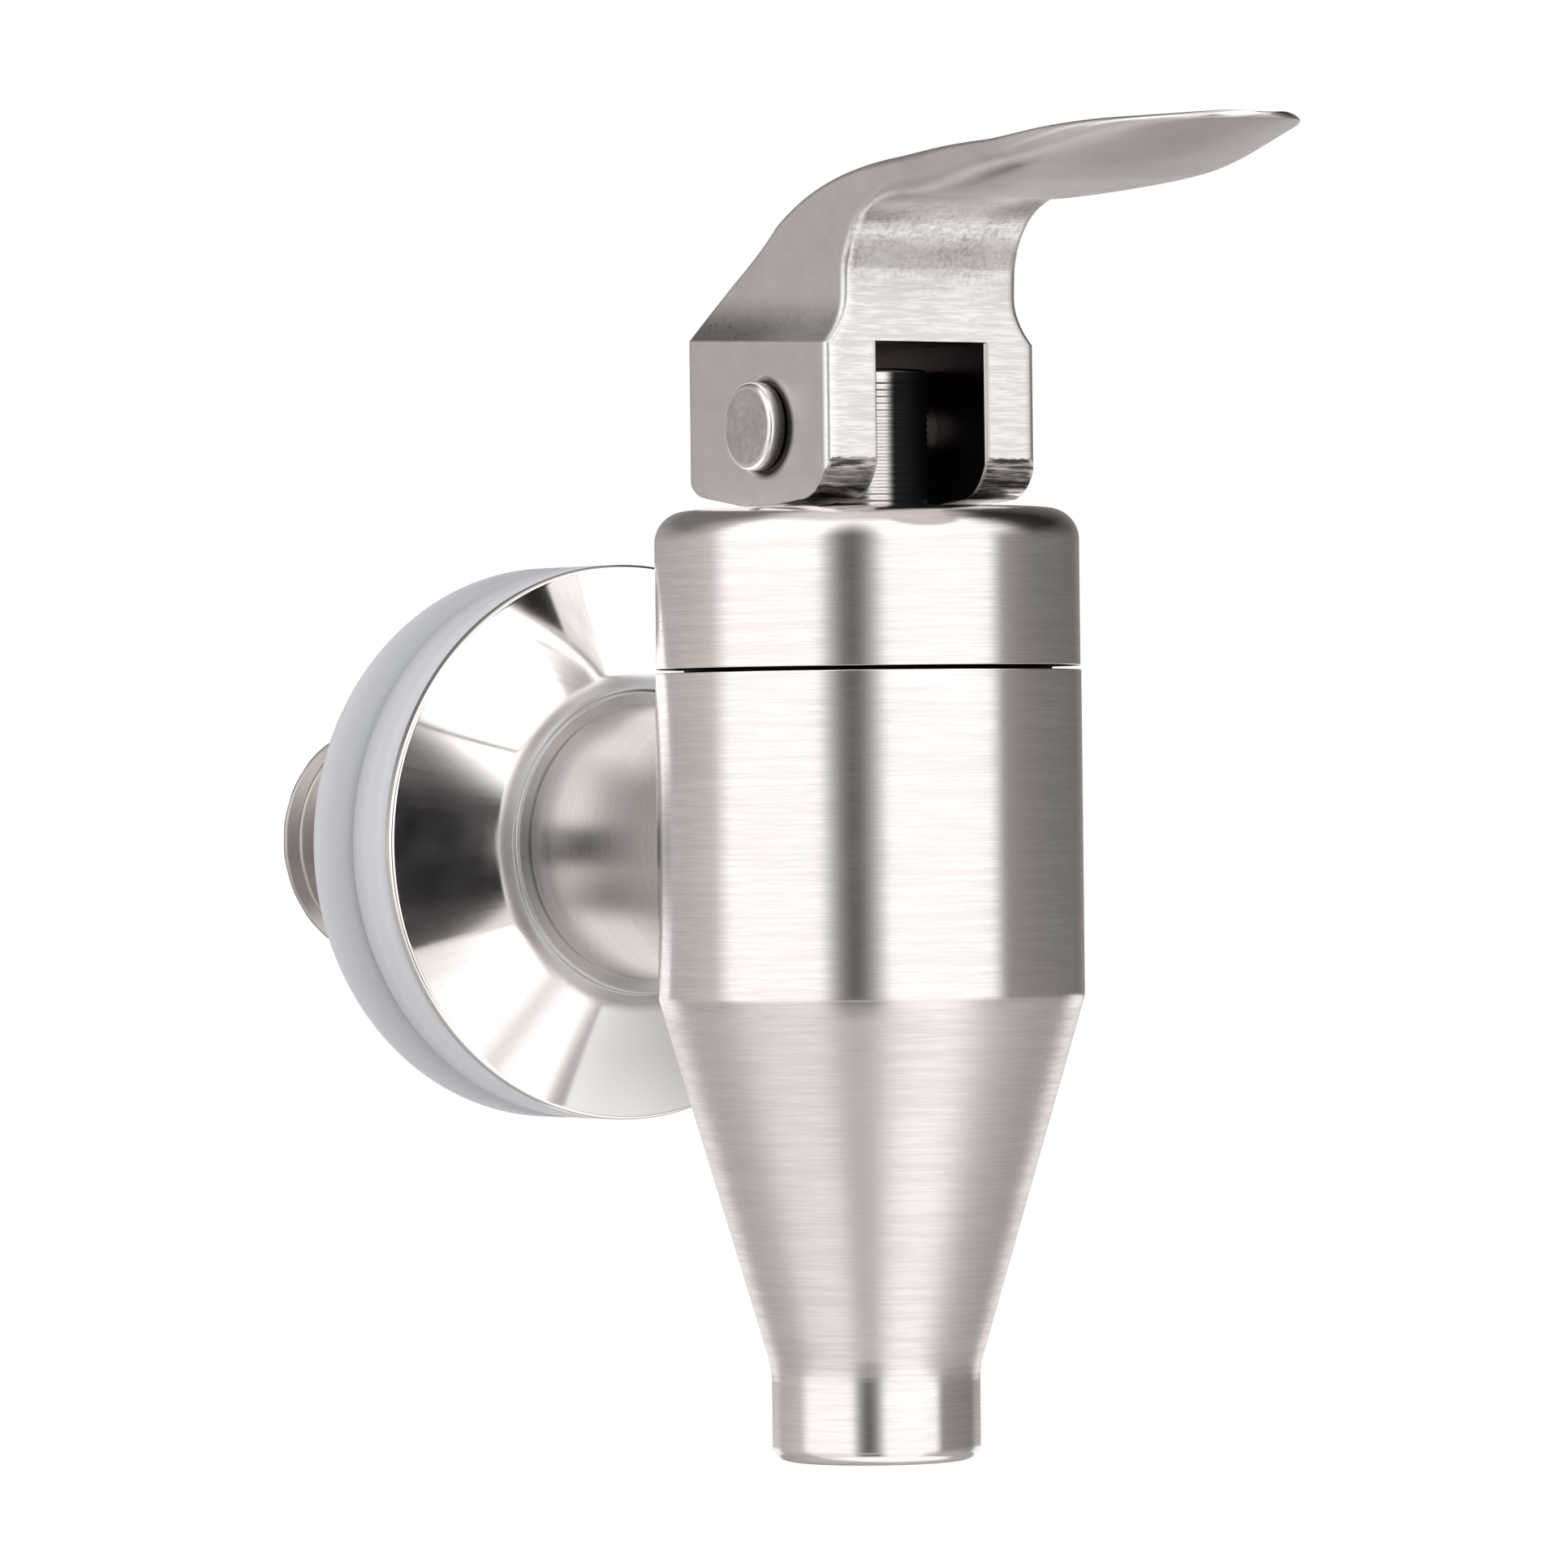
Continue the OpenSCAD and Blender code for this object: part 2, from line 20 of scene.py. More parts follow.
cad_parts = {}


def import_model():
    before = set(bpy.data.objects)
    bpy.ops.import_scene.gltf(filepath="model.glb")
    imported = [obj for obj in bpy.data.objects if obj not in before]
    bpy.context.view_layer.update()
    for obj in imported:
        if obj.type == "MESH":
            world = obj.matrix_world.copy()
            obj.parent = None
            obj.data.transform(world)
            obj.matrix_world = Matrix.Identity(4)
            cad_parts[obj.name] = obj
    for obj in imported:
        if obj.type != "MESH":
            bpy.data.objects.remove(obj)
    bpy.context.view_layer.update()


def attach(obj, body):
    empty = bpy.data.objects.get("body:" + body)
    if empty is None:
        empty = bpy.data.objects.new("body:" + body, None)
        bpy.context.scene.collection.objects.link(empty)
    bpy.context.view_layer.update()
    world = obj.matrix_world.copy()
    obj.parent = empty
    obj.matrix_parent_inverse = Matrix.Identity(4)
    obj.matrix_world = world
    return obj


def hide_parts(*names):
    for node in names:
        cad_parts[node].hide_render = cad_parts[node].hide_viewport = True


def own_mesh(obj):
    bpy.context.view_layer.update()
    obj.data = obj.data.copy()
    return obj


log = logging.getLogger("spigot")

MM = 0.001
AXIS_Y = -34.1
PIVOT_Z = 26.0
BODY_R = 13.4
SEAT_Z = -10.5
LEDGE_Z = 6.0
CAP_FOOT = 7.7
ROOF_Z = 18.85
CAP_TOP = 20.85
TURN_STEPS = 224

Points = np.ndarray
Attributes = dict[str, np.ndarray]
Triple = tuple[float, float, float]
Socket = bpy.types.NodeSocket
Tree = bpy.types.NodeTree


class Axis(Enum):
    """The axis that a turned piece goes round."""

    BODY = "along Z, through the body"
    SHANK = "along Y, through the shank"
    PIN = "along X, through the pivot"


# Profiles


def rounded_profile(corners: list[Triple], turn: float = 12.0) -> tuple[Points, np.ndarray]:
    """Rounds the corners of a closed outline and keeps a narrow strip of support beside each arc.

    Each corner p between its neighbours a and b gets an arc of radius f that touches both
    sides: it starts f / tan(half the angle) away from p, and its centre lies on the bisector
    at f / sin(half the angle).

    Args:
        corners: (radius, height, fillet) of each corner, in order round the outline.
        turn: largest angle between two points of an arc, in degrees.

    Returns:
        The outline's points as (n, 2), and for each point 1 on an arc and 0 elsewhere.
    """
    pts = np.array([c[:2] for c in corners], float)
    out: list[Points] = []
    mask: list[np.ndarray] = []
    for i, (_, _, fillet) in enumerate(corners):
        p, a, b = pts[i], pts[i - 1], pts[(i + 1) % len(pts)]
        u, v = (a - p) / np.linalg.norm(a - p), (b - p) / np.linalg.norm(b - p)
        half = math.acos(float(np.clip(u @ v, -1, 1))) / 2
        if fillet <= 0 or half > math.radians(89.5):
            out.append(p[None])
            mask.append(np.zeros(1))
            continue
        reach = fillet / math.tan(half)
        centre = p + (u + v) / np.linalg.norm(u + v) * fillet / math.sin(half)
        s, e = p + u * reach - centre, p + v * reach - centre
        a0, a1 = math.atan2(s[1], s[0]), math.atan2(e[1], e[0])
        sweep = (a1 - a0 + math.pi) % (2 * math.pi) - math.pi
        steps = max(3, int(math.ceil(abs(math.degrees(sweep)) / turn)))
        ang = a0 + sweep * np.linspace(0, 1, steps + 1)
        out.append(centre + fillet * np.stack([np.cos(ang), np.sin(ang)], 1))
        mask.append(np.ones(steps + 1))
    return supported(np.vstack(out), np.concatenate(mask))


def supported(
    points: Points, mask: np.ndarray, pad: float = 0.09, step: float = 1.1,
) -> tuple[Points, np.ndarray]:
    """Cuts the long sides of a closed outline into short ones, with a narrow one at either end.

    Args:
        points: the outline as (n, 2).
        mask: a number for each point, carried along.
        pad: length of the narrow strips, in millimetres.
        step: longest side that stays whole.

    Returns:
        The finer outline and its mask.
    """
    out: list[Points] = []
    marks: list[np.ndarray] = []
    for p, q, m, n in zip(points, np.roll(points, -1, 0), mask, np.roll(mask, -1)):
        length = float(np.linalg.norm(q - p))
        cuts = [0.0]
        if length > 3 * pad:
            inner = np.linspace(pad, length - pad, max(2, int(length / step) + 1))
            cuts += list(inner / length)
        t = np.array(cuts)
        out.append(p + (q - p) * t[:, None])
        marks.append(np.where(t == 0, m, 0.0 if length > 3 * pad else (m + n) / 2))
    return np.vstack(out), np.concatenate(marks)


def turned(profile: Points, axis: Axis, steps: int = TURN_STEPS) -> Points:
    """Carries a profile round an axis: a point at radius r and height h goes to
    (r cos a, r sin a) across the axis and h along it, for angles a over a full turn.

    Args:
        profile: (n, 2) radii and heights along the axis.
        axis: the axis to go round.
        steps: how many places there are round the turn.

    Returns:
        A grid of points, (n, steps, 3), in millimetres.
    """
    a = np.linspace(0, 2 * np.pi, steps, endpoint=False)
    r, h = profile[:, :1], np.repeat(profile[:, 1:], steps, 1)
    c, s = r * np.cos(a), r * np.sin(a)
    if axis is Axis.BODY:
        return np.stack([c, AXIS_Y + s, h], -1)
    if axis is Axis.SHANK:
        return np.stack([c, h, -s], -1)
    return np.stack([h, AXIS_Y + c, PIVOT_Z + s], -1)


def bezier(control: list[tuple[float, float]], t: np.ndarray) -> Points:
    """Cubic curve: the four control points weighted with (1-t)^3, 3t(1-t)^2, 3t^2(1-t) and t^3."""
    p = np.array(control, float)
    w = np.stack([(1 - t) ** 3, 3 * t * (1 - t) ** 2, 3 * t * t * (1 - t), t**3], -1)
    return w @ p


def ease(x: np.ndarray, a: float, b: float) -> np.ndarray:
    """Smooth step 3t^2 - 2t^3, where t runs from 0 at a to 1 at b."""
    t = np.clip((x - a) / (b - a), 0, 1)
    return t * t * (3 - 2 * t)


# Meshes


@dataclass
class Surface:
    """A set of points with faces and numbers per point, in millimetres."""

    points: Points
    faces: np.ndarray
    marks: Attributes

    @staticmethod
    def grid(
        points: Points, marks: Attributes | None = None, loop_rows: bool = True, loop_columns: bool = True,
    ) -> "Surface":
        """Joins a grid of points with quads: each point, its right, lower right and lower neighbour.

        Args:
            points: (rows, columns, 3).
            marks: numbers per point, (rows, columns).
            loop_rows: the last row joins the first.
            loop_columns: the last column joins the first.

        Returns:
            The surface.
        """
        m, n = points.shape[:2]
        i = np.arange(m if loop_rows else m - 1)[:, None]
        j = np.arange(n if loop_columns else n - 1)[None, :]
        i2, j2 = (i + 1) % m, (j + 1) % n
        quads = np.stack([i * n + j, i * n + j2, i2 * n + j2, i2 * n + j], -1).reshape(-1, 4)
        flat = {k: np.broadcast_to(v, (m, n)).reshape(-1) for k, v in (marks or {}).items()}
        return Surface(points.reshape(-1, 3), quads, flat)

    def joined(self, other: "Surface") -> "Surface":
        """This surface and another as one; points that meet are merged when the mesh is made."""
        names = set(self.marks) | set(other.marks)
        marks = {
            k: np.concatenate([s.marks.get(k, np.zeros(len(s.points))) for s in (self, other)])
            for k in names
        }
        return Surface(
            np.vstack([self.points, other.points]),
            np.vstack([self.faces, other.faces + len(self.points)]),
            marks,
        )

    def mesh(self, name: str, sharp: float = 35.0) -> bpy.types.Mesh:
        """Makes the mesh: merges doubles, points the faces outwards and shades it smooth up to an angle.

        Args:
            name: the mesh's name.
            sharp: angle in degrees past which an edge stays sharp.

        Returns:
            The mesh, in metres.
        """
        mesh = bpy.data.meshes.new(name)
        mesh.from_pydata((self.points * MM).tolist(), [], self.faces.tolist())
        for key, values in self.marks.items():
            layer = mesh.attributes.new(key, "FLOAT", "POINT")
            layer.data.foreach_set("value", values.astype(np.float32))
        work = bmesh.new()
        work.from_mesh(mesh)
        bmesh.ops.remove_doubles(work, verts=work.verts, dist=2e-7)
        bmesh.ops.dissolve_degenerate(work, edges=work.edges, dist=1e-8)
        bmesh.ops.recalc_face_normals(work, faces=work.faces)
        work.to_mesh(mesh)
        work.free()
        shade(mesh, sharp)
        return mesh

    def piece(self, name: str, sharp: float = 35.0) -> bpy.types.Object:
        """Makes an object of the surface, at the origin, and links it to the scene."""
        obj = bpy.data.objects.new(name, self.mesh(name, sharp))
        bpy.context.scene.collection.objects.link(obj)
        return obj


def shade(mesh: bpy.types.Mesh, sharp: float) -> None:
    """Shades a mesh smooth, and keeps edges sharp past an angle in degrees."""
    mesh.shade_smooth()
    mesh.set_sharp_from_angle(angle=math.radians(sharp))


def mark_faces(mesh: bpy.types.Mesh, name: str, rule: Callable[[Points, Points], np.ndarray]) -> None:
    """Gives every face of a mesh a number.

    Args:
        mesh: the mesh.
        name: name of the number.
        rule: works the numbers out from the faces' centres, in millimetres, and their normals.
    """
    count = len(mesh.polygons)
    centre, normal = np.empty(count * 3, np.float32), np.empty(count * 3, np.float32)
    mesh.polygons.foreach_get("center", centre)
    mesh.polygons.foreach_get("normal", normal)
    values = rule(centre.reshape(-1, 3) / MM, normal.reshape(-1, 3))
    mesh.attributes.new(name, "FLOAT", "FACE").data.foreach_set("value", values.astype(np.float32))


def cut(obj: bpy.types.Object, cutters: list[Surface], sharp: float = 35.0) -> None:
    """Takes the cutters' volumes out of an object, and leaves no modifier on it.

    Args:
        obj: the object to cut.
        cutters: closed surfaces.
        sharp: angle in degrees past which an edge stays sharp.
    """
    tools = [c.piece(f"cutter_{i}") for i, c in enumerate(cutters)]
    for tool in tools:
        modifier = obj.modifiers.new("cut", "BOOLEAN")
        modifier.operation = "DIFFERENCE"
        modifier.solver = "EXACT"
        modifier.object = tool
    graph = bpy.context.evaluated_depsgraph_get()
    result = bpy.data.meshes.new_from_object(obj.evaluated_get(graph))
    old = obj.data
    obj.modifiers.clear()
    obj.data = result
    result.name = old.name
    bpy.data.meshes.remove(old)
    for tool in tools:
        data = tool.data
        bpy.data.objects.remove(tool)
        bpy.data.meshes.remove(data)
    shade(result, sharp)


# Shader node groups


class Group(Enum):
    """The shader node groups that several finishes share."""

    GRAIN = "machined_grain"
    STAIN = "cloudy_tone"
    EDGE = "bright_edges"


def _socket(
    tree: Tree, name: str, out: bool, kind: str = "NodeSocketFloat", value: object = None,
) -> None:
    """Adds one input or output to a node group, with its default value."""
    item = tree.interface.new_socket(name=name, in_out="OUTPUT" if out else "INPUT", socket_type=kind)
    if value is not None:
        item.default_value = value


@dataclass
class Nodes:
    """A node tree that is being filled, with short ways to add and link nodes."""

    tree: Tree

    def add(self, kind: str, **values: object) -> bpy.types.Node:
        """Adds a node, and sets those of its properties that are named."""
        node = self.tree.nodes.new(kind)
        for key, value in values.items():
            setattr(node, key, value)
        return node

    def link(self, source: Socket, target: Socket) -> None:
        """Links an output to an input."""
        self.tree.links.new(source, target)

    def give(self, target: Socket, value: object) -> None:
        """Links a socket to an input, or sets the input to a number or a colour."""
        if isinstance(value, Socket):
            self.link(value, target)
        elif isinstance(value, (int, float)):
            target.default_value = value
        else:
            target.default_value = (*value, 1.0)

    def maths(self, operation: str, a: object, b: object = 0.0, clamp: bool = False) -> Socket:
        """Adds a Math node.

        Args:
            operation: the node's operation.
            a: first value, a socket or a number.
            b: second value, a socket or a number.
            clamp: keep the result between 0 and 1.

        Returns:
            The node's output.
        """
        node = self.add("ShaderNodeMath", operation=operation, use_clamp=clamp)
        self.give(node.inputs[0], a)
        self.give(node.inputs[1], b)
        return node.outputs[0]

    def plus(self, a: object, b: object, clamp: bool = False) -> Socket:
        """Gives a + b."""
        return self.maths("ADD", a, b, clamp)

    def minus(self, a: object, b: object, clamp: bool = False) -> Socket:
        """Gives a - b."""
        return self.maths("SUBTRACT", a, b, clamp)

    def times(self, a: object, b: object, clamp: bool = False) -> Socket:
        """Gives a times b."""
        return self.maths("MULTIPLY", a, b, clamp)

    def climb(self, value: object, start: float, steepness: float) -> Socket:
        """Gives (value - start) * steepness, kept between 0 and 1."""
        return self.times(self.minus(value, start), steepness, clamp=True)

    def mixed(self, factor: object, a: object, b: object) -> Socket:
        """Adds a colour mix of a and b by a factor; each may be a socket or a value."""
        node = self.add("ShaderNodeMix", data_type="RGBA")
        for i, value in ((0, factor), (6, a), (7, b)):
            self.give(node.inputs[i], value)
        return node.outputs[2]

    def noise(self, vector: Socket, scale: float, detail: float = 3.0, rough: float = 0.55) -> Socket:
        """Adds a noise texture on a vector, and gives its factor."""
        node = self.add("ShaderNodeTexNoise")
        node.inputs["Scale"].default_value = scale
        node.inputs["Detail"].default_value = detail
        node.inputs["Roughness"].default_value = rough
        self.link(vector, node.inputs["Vector"])
        return node.outputs["Fac"]

    def ramp(self, value: Socket, stops: list[tuple[float, Triple]]) -> Socket:
        """Adds a colour ramp with these (place, colour) stops, and gives its colour."""
        node = self.add("ShaderNodeValToRGB")
        ramp = node.color_ramp
        while len(ramp.elements) < len(stops):
            ramp.elements.new(0.5)
        for element, (place, colour) in zip(ramp.elements, sorted(stops)):
            element.position = place
            element.color = (*colour, 1.0)
        self.link(value, node.inputs[0])
        return node.outputs[0]

    def either(self, factor: Socket, first: Socket, second: Socket) -> Socket:
        """Adds a Mix Shader node, which gives the first shader at 0 and the second at 1."""
        node = self.add("ShaderNodeMixShader")
        for source, target in zip((factor, first, second), node.inputs):
            self.link(source, target)
        return node.outputs[0]

    def sky(self, colour: object, strength: float) -> Socket:
        """Adds a Background node."""
        node = self.add("ShaderNodeBackground")
        node.inputs["Strength"].default_value = strength
        self.give(node.inputs["Color"], colour)
        return node.outputs[0]

    def mark(self, name: str) -> Socket:
        """Adds an Attribute node that reads one of a mesh's marks."""
        return self.add("ShaderNodeAttribute", attribute_name=name).outputs["Fac"]

    def bump(self, height: Socket, distance: float) -> bpy.types.Node:
        """Adds a Bump node for a height, with its distance in metres."""
        node = self.add("ShaderNodeBump")
        node.inputs["Distance"].default_value = distance
        self.link(height, node.inputs["Height"])
        return node

    def principled(self, colour: Socket, rough: Socket, bump: bpy.types.Node, **constants: object) -> None:
        """Ends a material with the Principled shader.

        Args:
            colour: its base colour.
            rough: its roughness.
            bump: the node that gives its normal.
            constants: other inputs by name, with _ for a space, and their values.
        """
        shader = self.add("ShaderNodeBsdfPrincipled")
        for key, value in constants.items():
            shader.inputs[key.replace("_", " ")].default_value = value
        self.link(colour, shader.inputs["Base Color"])
        self.link(rough, shader.inputs["Roughness"])
        self.link(bump.outputs["Normal"], shader.inputs["Normal"])
        self.link(shader.outputs[0], self.add("ShaderNodeOutputMaterial").inputs["Surface"])


def blank_material(name: str) -> tuple[bpy.types.Material, Nodes]:
    """Makes a material whose node tree is empty, and gives both."""
    mat = bpy.data.materials.new(name)
    mat.use_nodes = True
    mat.node_tree.nodes.clear()
    return mat, Nodes(mat.node_tree)


class GroupShelf:
    """Makes each shared node group once and hands it out."""

    def __init__(self) -> None:
        """Starts with no group made."""
        self._made: dict[Group, Tree] = {}

    def get(self, kind: Group) -> Tree:
        """Gives a group's tree, and makes it the first time."""
        if kind not in self._made:
            maker = {Group.GRAIN: self._grain, Group.STAIN: self._stain, Group.EDGE: self._edge}[kind]
            self._made[kind] = maker(bpy.data.node_groups.new(kind.value, "ShaderNodeTree"))
        return self._made[kind]

    def place(self, nodes: Nodes, kind: Group, **values: object) -> bpy.types.Node:
        """Puts a group into a material.

        Args:
            nodes: the material's tree.
            kind: which group.
            values: its inputs by name, with _ for a space; sockets or numbers.

        Returns:
            The group node.
        """
        node = nodes.add("ShaderNodeGroup", node_tree=self.get(kind))
        for key, value in values.items():
            target = node.inputs[key.replace("_", " ")]
            if isinstance(value, Socket):
                nodes.link(value, target)
            else:
                target.default_value = value
        return node

    @staticmethod
    def _grain(tree: Tree) -> Tree:
        """Fine parallel tool marks: two noises squeezed across the marks, one fine and one broad."""
        _socket(tree, "Place", False, "NodeSocketVector")
        _socket(tree, "Squeeze", False, "NodeSocketVector", (1.0, 1.0, 1.0))
        _socket(tree, "Height", True)
        _socket(tree, "Streak", True)
        n = Nodes(tree)
        start, end = n.add("NodeGroupInput"), n.add("NodeGroupOutput")
        scaled = n.add("ShaderNodeVectorMath", operation="MULTIPLY")
        n.link(start.outputs["Place"], scaled.inputs[0])
        n.link(start.outputs["Squeeze"], scaled.inputs[1])
        fine = n.noise(scaled.outputs[0], 1.0, 2.0, 0.6)
        broad = n.noise(scaled.outputs[0], 0.23, 2.0, 0.5)
        height = n.plus(n.times(fine, 0.7), n.times(broad, 0.5))
        streak = n.times(n.minus(height, 0.5), 2.6)
        n.link(height, end.inputs["Height"])
        n.link(n.plus(streak, 0.5, clamp=True), end.inputs["Streak"])
        return tree

    @staticmethod
    def _stain(tree: Tree) -> Tree:
        """Cloudy change of tone: a colour mixed to a second one where a slow noise is high."""
        _socket(tree, "Place", False, "NodeSocketVector")
        _socket(tree, "Base", False, "NodeSocketColor", (0.7, 0.7, 0.7, 1.0))
        _socket(tree, "Second", False, "NodeSocketColor", (0.6, 0.6, 0.6, 1.0))
        _socket(tree, "Size", False, value=120.0)
        _socket(tree, "Amount", False, value=0.5)
        _socket(tree, "Color", True, "NodeSocketColor")
        _socket(tree, "Cloud", True)
        n = Nodes(tree)
        start, end = n.add("NodeGroupInput"), n.add("NodeGroupOutput")
        noise = n.add("ShaderNodeTexNoise")
        noise.inputs["Detail"].default_value = 5.0
        noise.inputs["Roughness"].default_value = 0.62
        n.link(start.outputs["Place"], noise.inputs["Vector"])
        n.link(start.outputs["Size"], noise.inputs["Scale"])
        cloud = n.climb(noise.outputs["Fac"], 0.32, 2.6)
        share = n.times(cloud, start.outputs["Amount"], clamp=True)
        n.link(n.mixed(share, start.outputs["Base"], start.outputs["Second"]), end.inputs["Color"])
        n.link(cloud, end.inputs["Cloud"])
        return tree

    @staticmethod
    def _edge(tree: Tree) -> Tree:
        """Where handling has polished a corner: the piece's own edge mark, broken up by a noise."""
        _socket(tree, "Place", False, "NodeSocketVector")
        _socket(tree, "Mark", False)
        _socket(tree, "Wear", False, value=0.8)
        _socket(tree, "Mask", True)
        n = Nodes(tree)
        start, end = n.add("NodeGroupInput"), n.add("NodeGroupOutput")
        chip = n.noise(start.outputs["Place"], 900.0, 4.0, 0.6)
        broken = n.times(n.plus(chip, 0.35), start.outputs["Mark"])
        n.link(n.times(broken, start.outputs["Wear"], clamp=True), end.inputs["Mask"])
        return tree


# Finishes


@dataclass(frozen=True)
class MetalFinish:
    """Bare stainless steel with tool marks in one direction, and painted shade where its dark mark says."""

    name: str
    slot: str
    colour: Triple = (0.93, 0.89, 0.875)
    stain: Triple = (0.80, 0.755, 0.74)
    stain_amount: float = 0.35
    stain_size: float = 160.0
    roughness: float = 0.125
    matte_gain: float = 0.18
    streak_gain: float = 0.08
    stain_gain: float = 0.04
    edge_gain: float = 0.06
    dark_gain: float = 0.4
    streak_depth: float = 0.18
    line_depth: float = 0.22
    line_shade: float = 0.7
    squeeze: Triple = (60.0, 60.0, 9000.0)
    grain: float = 0.25
    edge_wear: float = 0.8
    edge_colour: Triple = (0.92, 0.9, 0.88)
    # the colour of the painted shade that the dark mark draws in gaps, corners and on a shaded side
    dark_colour: Triple = (0.012, 0.011, 0.011)

    def material(self, groups: GroupShelf) -> bpy.types.Material:
        """Builds the material.

        Args:
            groups: the shelf of shared node groups.

        Returns:
            The material.
        """
        mat, n = blank_material(self.name)
        place = n.add("ShaderNodeTexCoord").outputs["Object"]
        grain = groups.place(n, Group.GRAIN, Place=place, Squeeze=self.squeeze)
        tone = groups.place(
            n, Group.STAIN, Place=place, Base=(*self.colour, 1.0), Second=(*self.stain, 1.0),
            Size=self.stain_size, Amount=self.stain_amount,
        )
        edge = groups.place(n, Group.EDGE, Place=place, Mark=n.mark("edge"), Wear=self.edge_wear)
        streak, dark = grain.outputs["Streak"], n.mark("dark")
        rough = n.times(n.minus(streak, 0.5), self.streak_gain)
        rough = n.plus(rough, n.times(n.mark("matte"), self.matte_gain))
        rough = n.plus(rough, n.times(tone.outputs["Cloud"], self.stain_gain))
        rough = n.minus(rough, n.times(edge.outputs["Mask"], self.edge_gain))
        rough = n.plus(rough, self.roughness, clamp=True)
        rough = n.plus(rough, n.times(dark, self.dark_gain), clamp=True)
        colour = n.mixed(n.times(streak, self.streak_depth), tone.outputs["Color"], self.stain)
        line = n.times(n.climb(streak, 0.62, 4.0), self.line_depth)
        colour = n.mixed(line, colour, tuple(self.line_shade * c for c in self.stain))
        colour = n.mixed(edge.outputs["Mask"], colour, self.edge_colour)
        # painted shade where the dark mark says
        colour = n.mixed(dark, colour, self.dark_colour)
        n.principled(colour, rough, n.bump(grain.outputs["Height"], self.grain * 1e-5), Metallic=1.0)
        return mat


@dataclass(frozen=True)
class CastFinish:
    """The lever's steel: satin and cloudy on its flanks, ground in streaks across its front,
    matte in its hollows and polished round the paddle's rim. Painted shade darkens the hollows above the
    crease and the slot's faces, and a painted shadow lies round the pin's head."""

    name: str = "lever_cast_steel"
    slot: str = "cast_steel"
    flank: Triple = (0.74, 0.70, 0.695)
    ground: Triple = (0.97, 0.945, 0.93)
    # painted shade in the hollows above the crease, and the real colour of the ruts on the ground front
    dark: Triple = (0.10, 0.09, 0.085)
    polish: Triple = (0.90, 0.88, 0.87)
    # the colour of the painted shade in the slot and of the painted shadow round the pin's head
    painted_shade: Triple = (0.055, 0.042, 0.04)
    scratch: Triple = (0.42, 0.39, 0.38)
    flank_roughness: float = 0.34
    front_roughness: float = 0.21
    streak_gain: float = 0.12
    hollow_gain: float = 0.22
    polish_roughness: float = 0.2
    bump: float = 6e-6
    # radius and middle of the painted shadow round the pin's head
    pin_shadow_r: float = 3.3
    pin_shadow_middle: tuple[float, float] = (AXIS_Y - 0.55, PIVOT_Z - 0.1)

    def material(self, groups: GroupShelf) -> bpy.types.Material:
        """Builds the material.

        Args:
            groups: the shelf of shared node groups.

        Returns:
            The material.
        """
        mat, n = blank_material(self.name)
        place = n.add("ShaderNodeTexCoord").outputs["Object"]
        marks = ("edge", "front", "neck", "polish", "hollow", "painted_shade", "grind")
        masks = {key: n.mark(key) for key in marks}
        front = masks["front"]
        across = groups.place(n, Group.GRAIN, Place=place, Squeeze=(700.0, 9000.0, 11000.0))
        skin = groups.place(n, Group.GRAIN, Place=place, Squeeze=(3500.0, 2400.0, 3500.0))
        ground = groups.place(n, Group.GRAIN, Place=place, Squeeze=(500.0, 5600.0, 5600.0))
        # how much painted shade darkens the hollows above the crease
        hollow = self.hollows(n, place, masks["hollow"])
        colour = self.steel(n, groups, place, front)
        colour = self.worn(n, place, colour, masks, across.outputs["Streak"])
        colour = n.mixed(hollow, colour, self.dark)
        ruts = n.climb(ground.outputs["Streak"], 0.3, 1.7)
        colour = n.mixed(n.times(ruts, masks["grind"]), colour, self.dark)
        edge = groups.place(n, Group.EDGE, Place=place, Mark=masks["edge"], Wear=0.7)
        colour = n.mixed(n.times(edge.outputs["Mask"], 0.7), colour, self.polish)
        colour = n.mixed(n.times(masks["polish"], n.minus(1.0, hollow)), colour, self.polish)
        # painted shadow round the pin's head, in the colour of painted shade
        colour = n.mixed(self.pin_shadow(n, place, front), colour, self.painted_shade)
        # painted shade on the faces that line the slot
        colour = n.mixed(masks["painted_shade"], colour, self.painted_shade)
        streak = n.mixed(front, skin.outputs["Streak"], across.outputs["Streak"])
        calm = n.minus(self.flank_roughness, n.times(front, self.flank_roughness - self.front_roughness))
        rough = n.plus(n.times(streak, self.streak_gain), calm)
        rough = n.plus(rough, n.times(masks["hollow"], self.hollow_gain))
        keep = n.minus(1.0, masks["polish"], clamp=True)
        rough = n.plus(n.times(rough, keep), n.times(masks["polish"], self.polish_roughness))
        height = n.mixed(front, skin.outputs["Height"], across.outputs["Height"])
        height = n.mixed(masks["grind"], height, ground.outputs["Height"])
        bump = n.bump(height, self.bump)
        n.link(keep, bump.inputs["Strength"])
        n.principled(colour, rough, bump, Metallic=1.0)
        return mat

    def steel(self, n: Nodes, groups: GroupShelf, place: Socket, front: Socket) -> Socket:
        """Gives the clean steel's colour: cloudy on the flanks, brighter on the ground front."""
        flank = groups.place(
            n, Group.STAIN, Place=place, Base=(*self.flank, 1.0),
            Second=(*(0.82 * c for c in self.flank), 1.0), Size=260.0, Amount=0.5,
        )
        face = groups.place(
            n, Group.STAIN, Place=place, Base=(*self.ground, 1.0),
            Second=(*(0.8 * c for c in self.ground), 1.0), Size=340.0, Amount=0.35,
        )
        return n.mixed(front, flank.outputs["Color"], face.outputs["Color"])

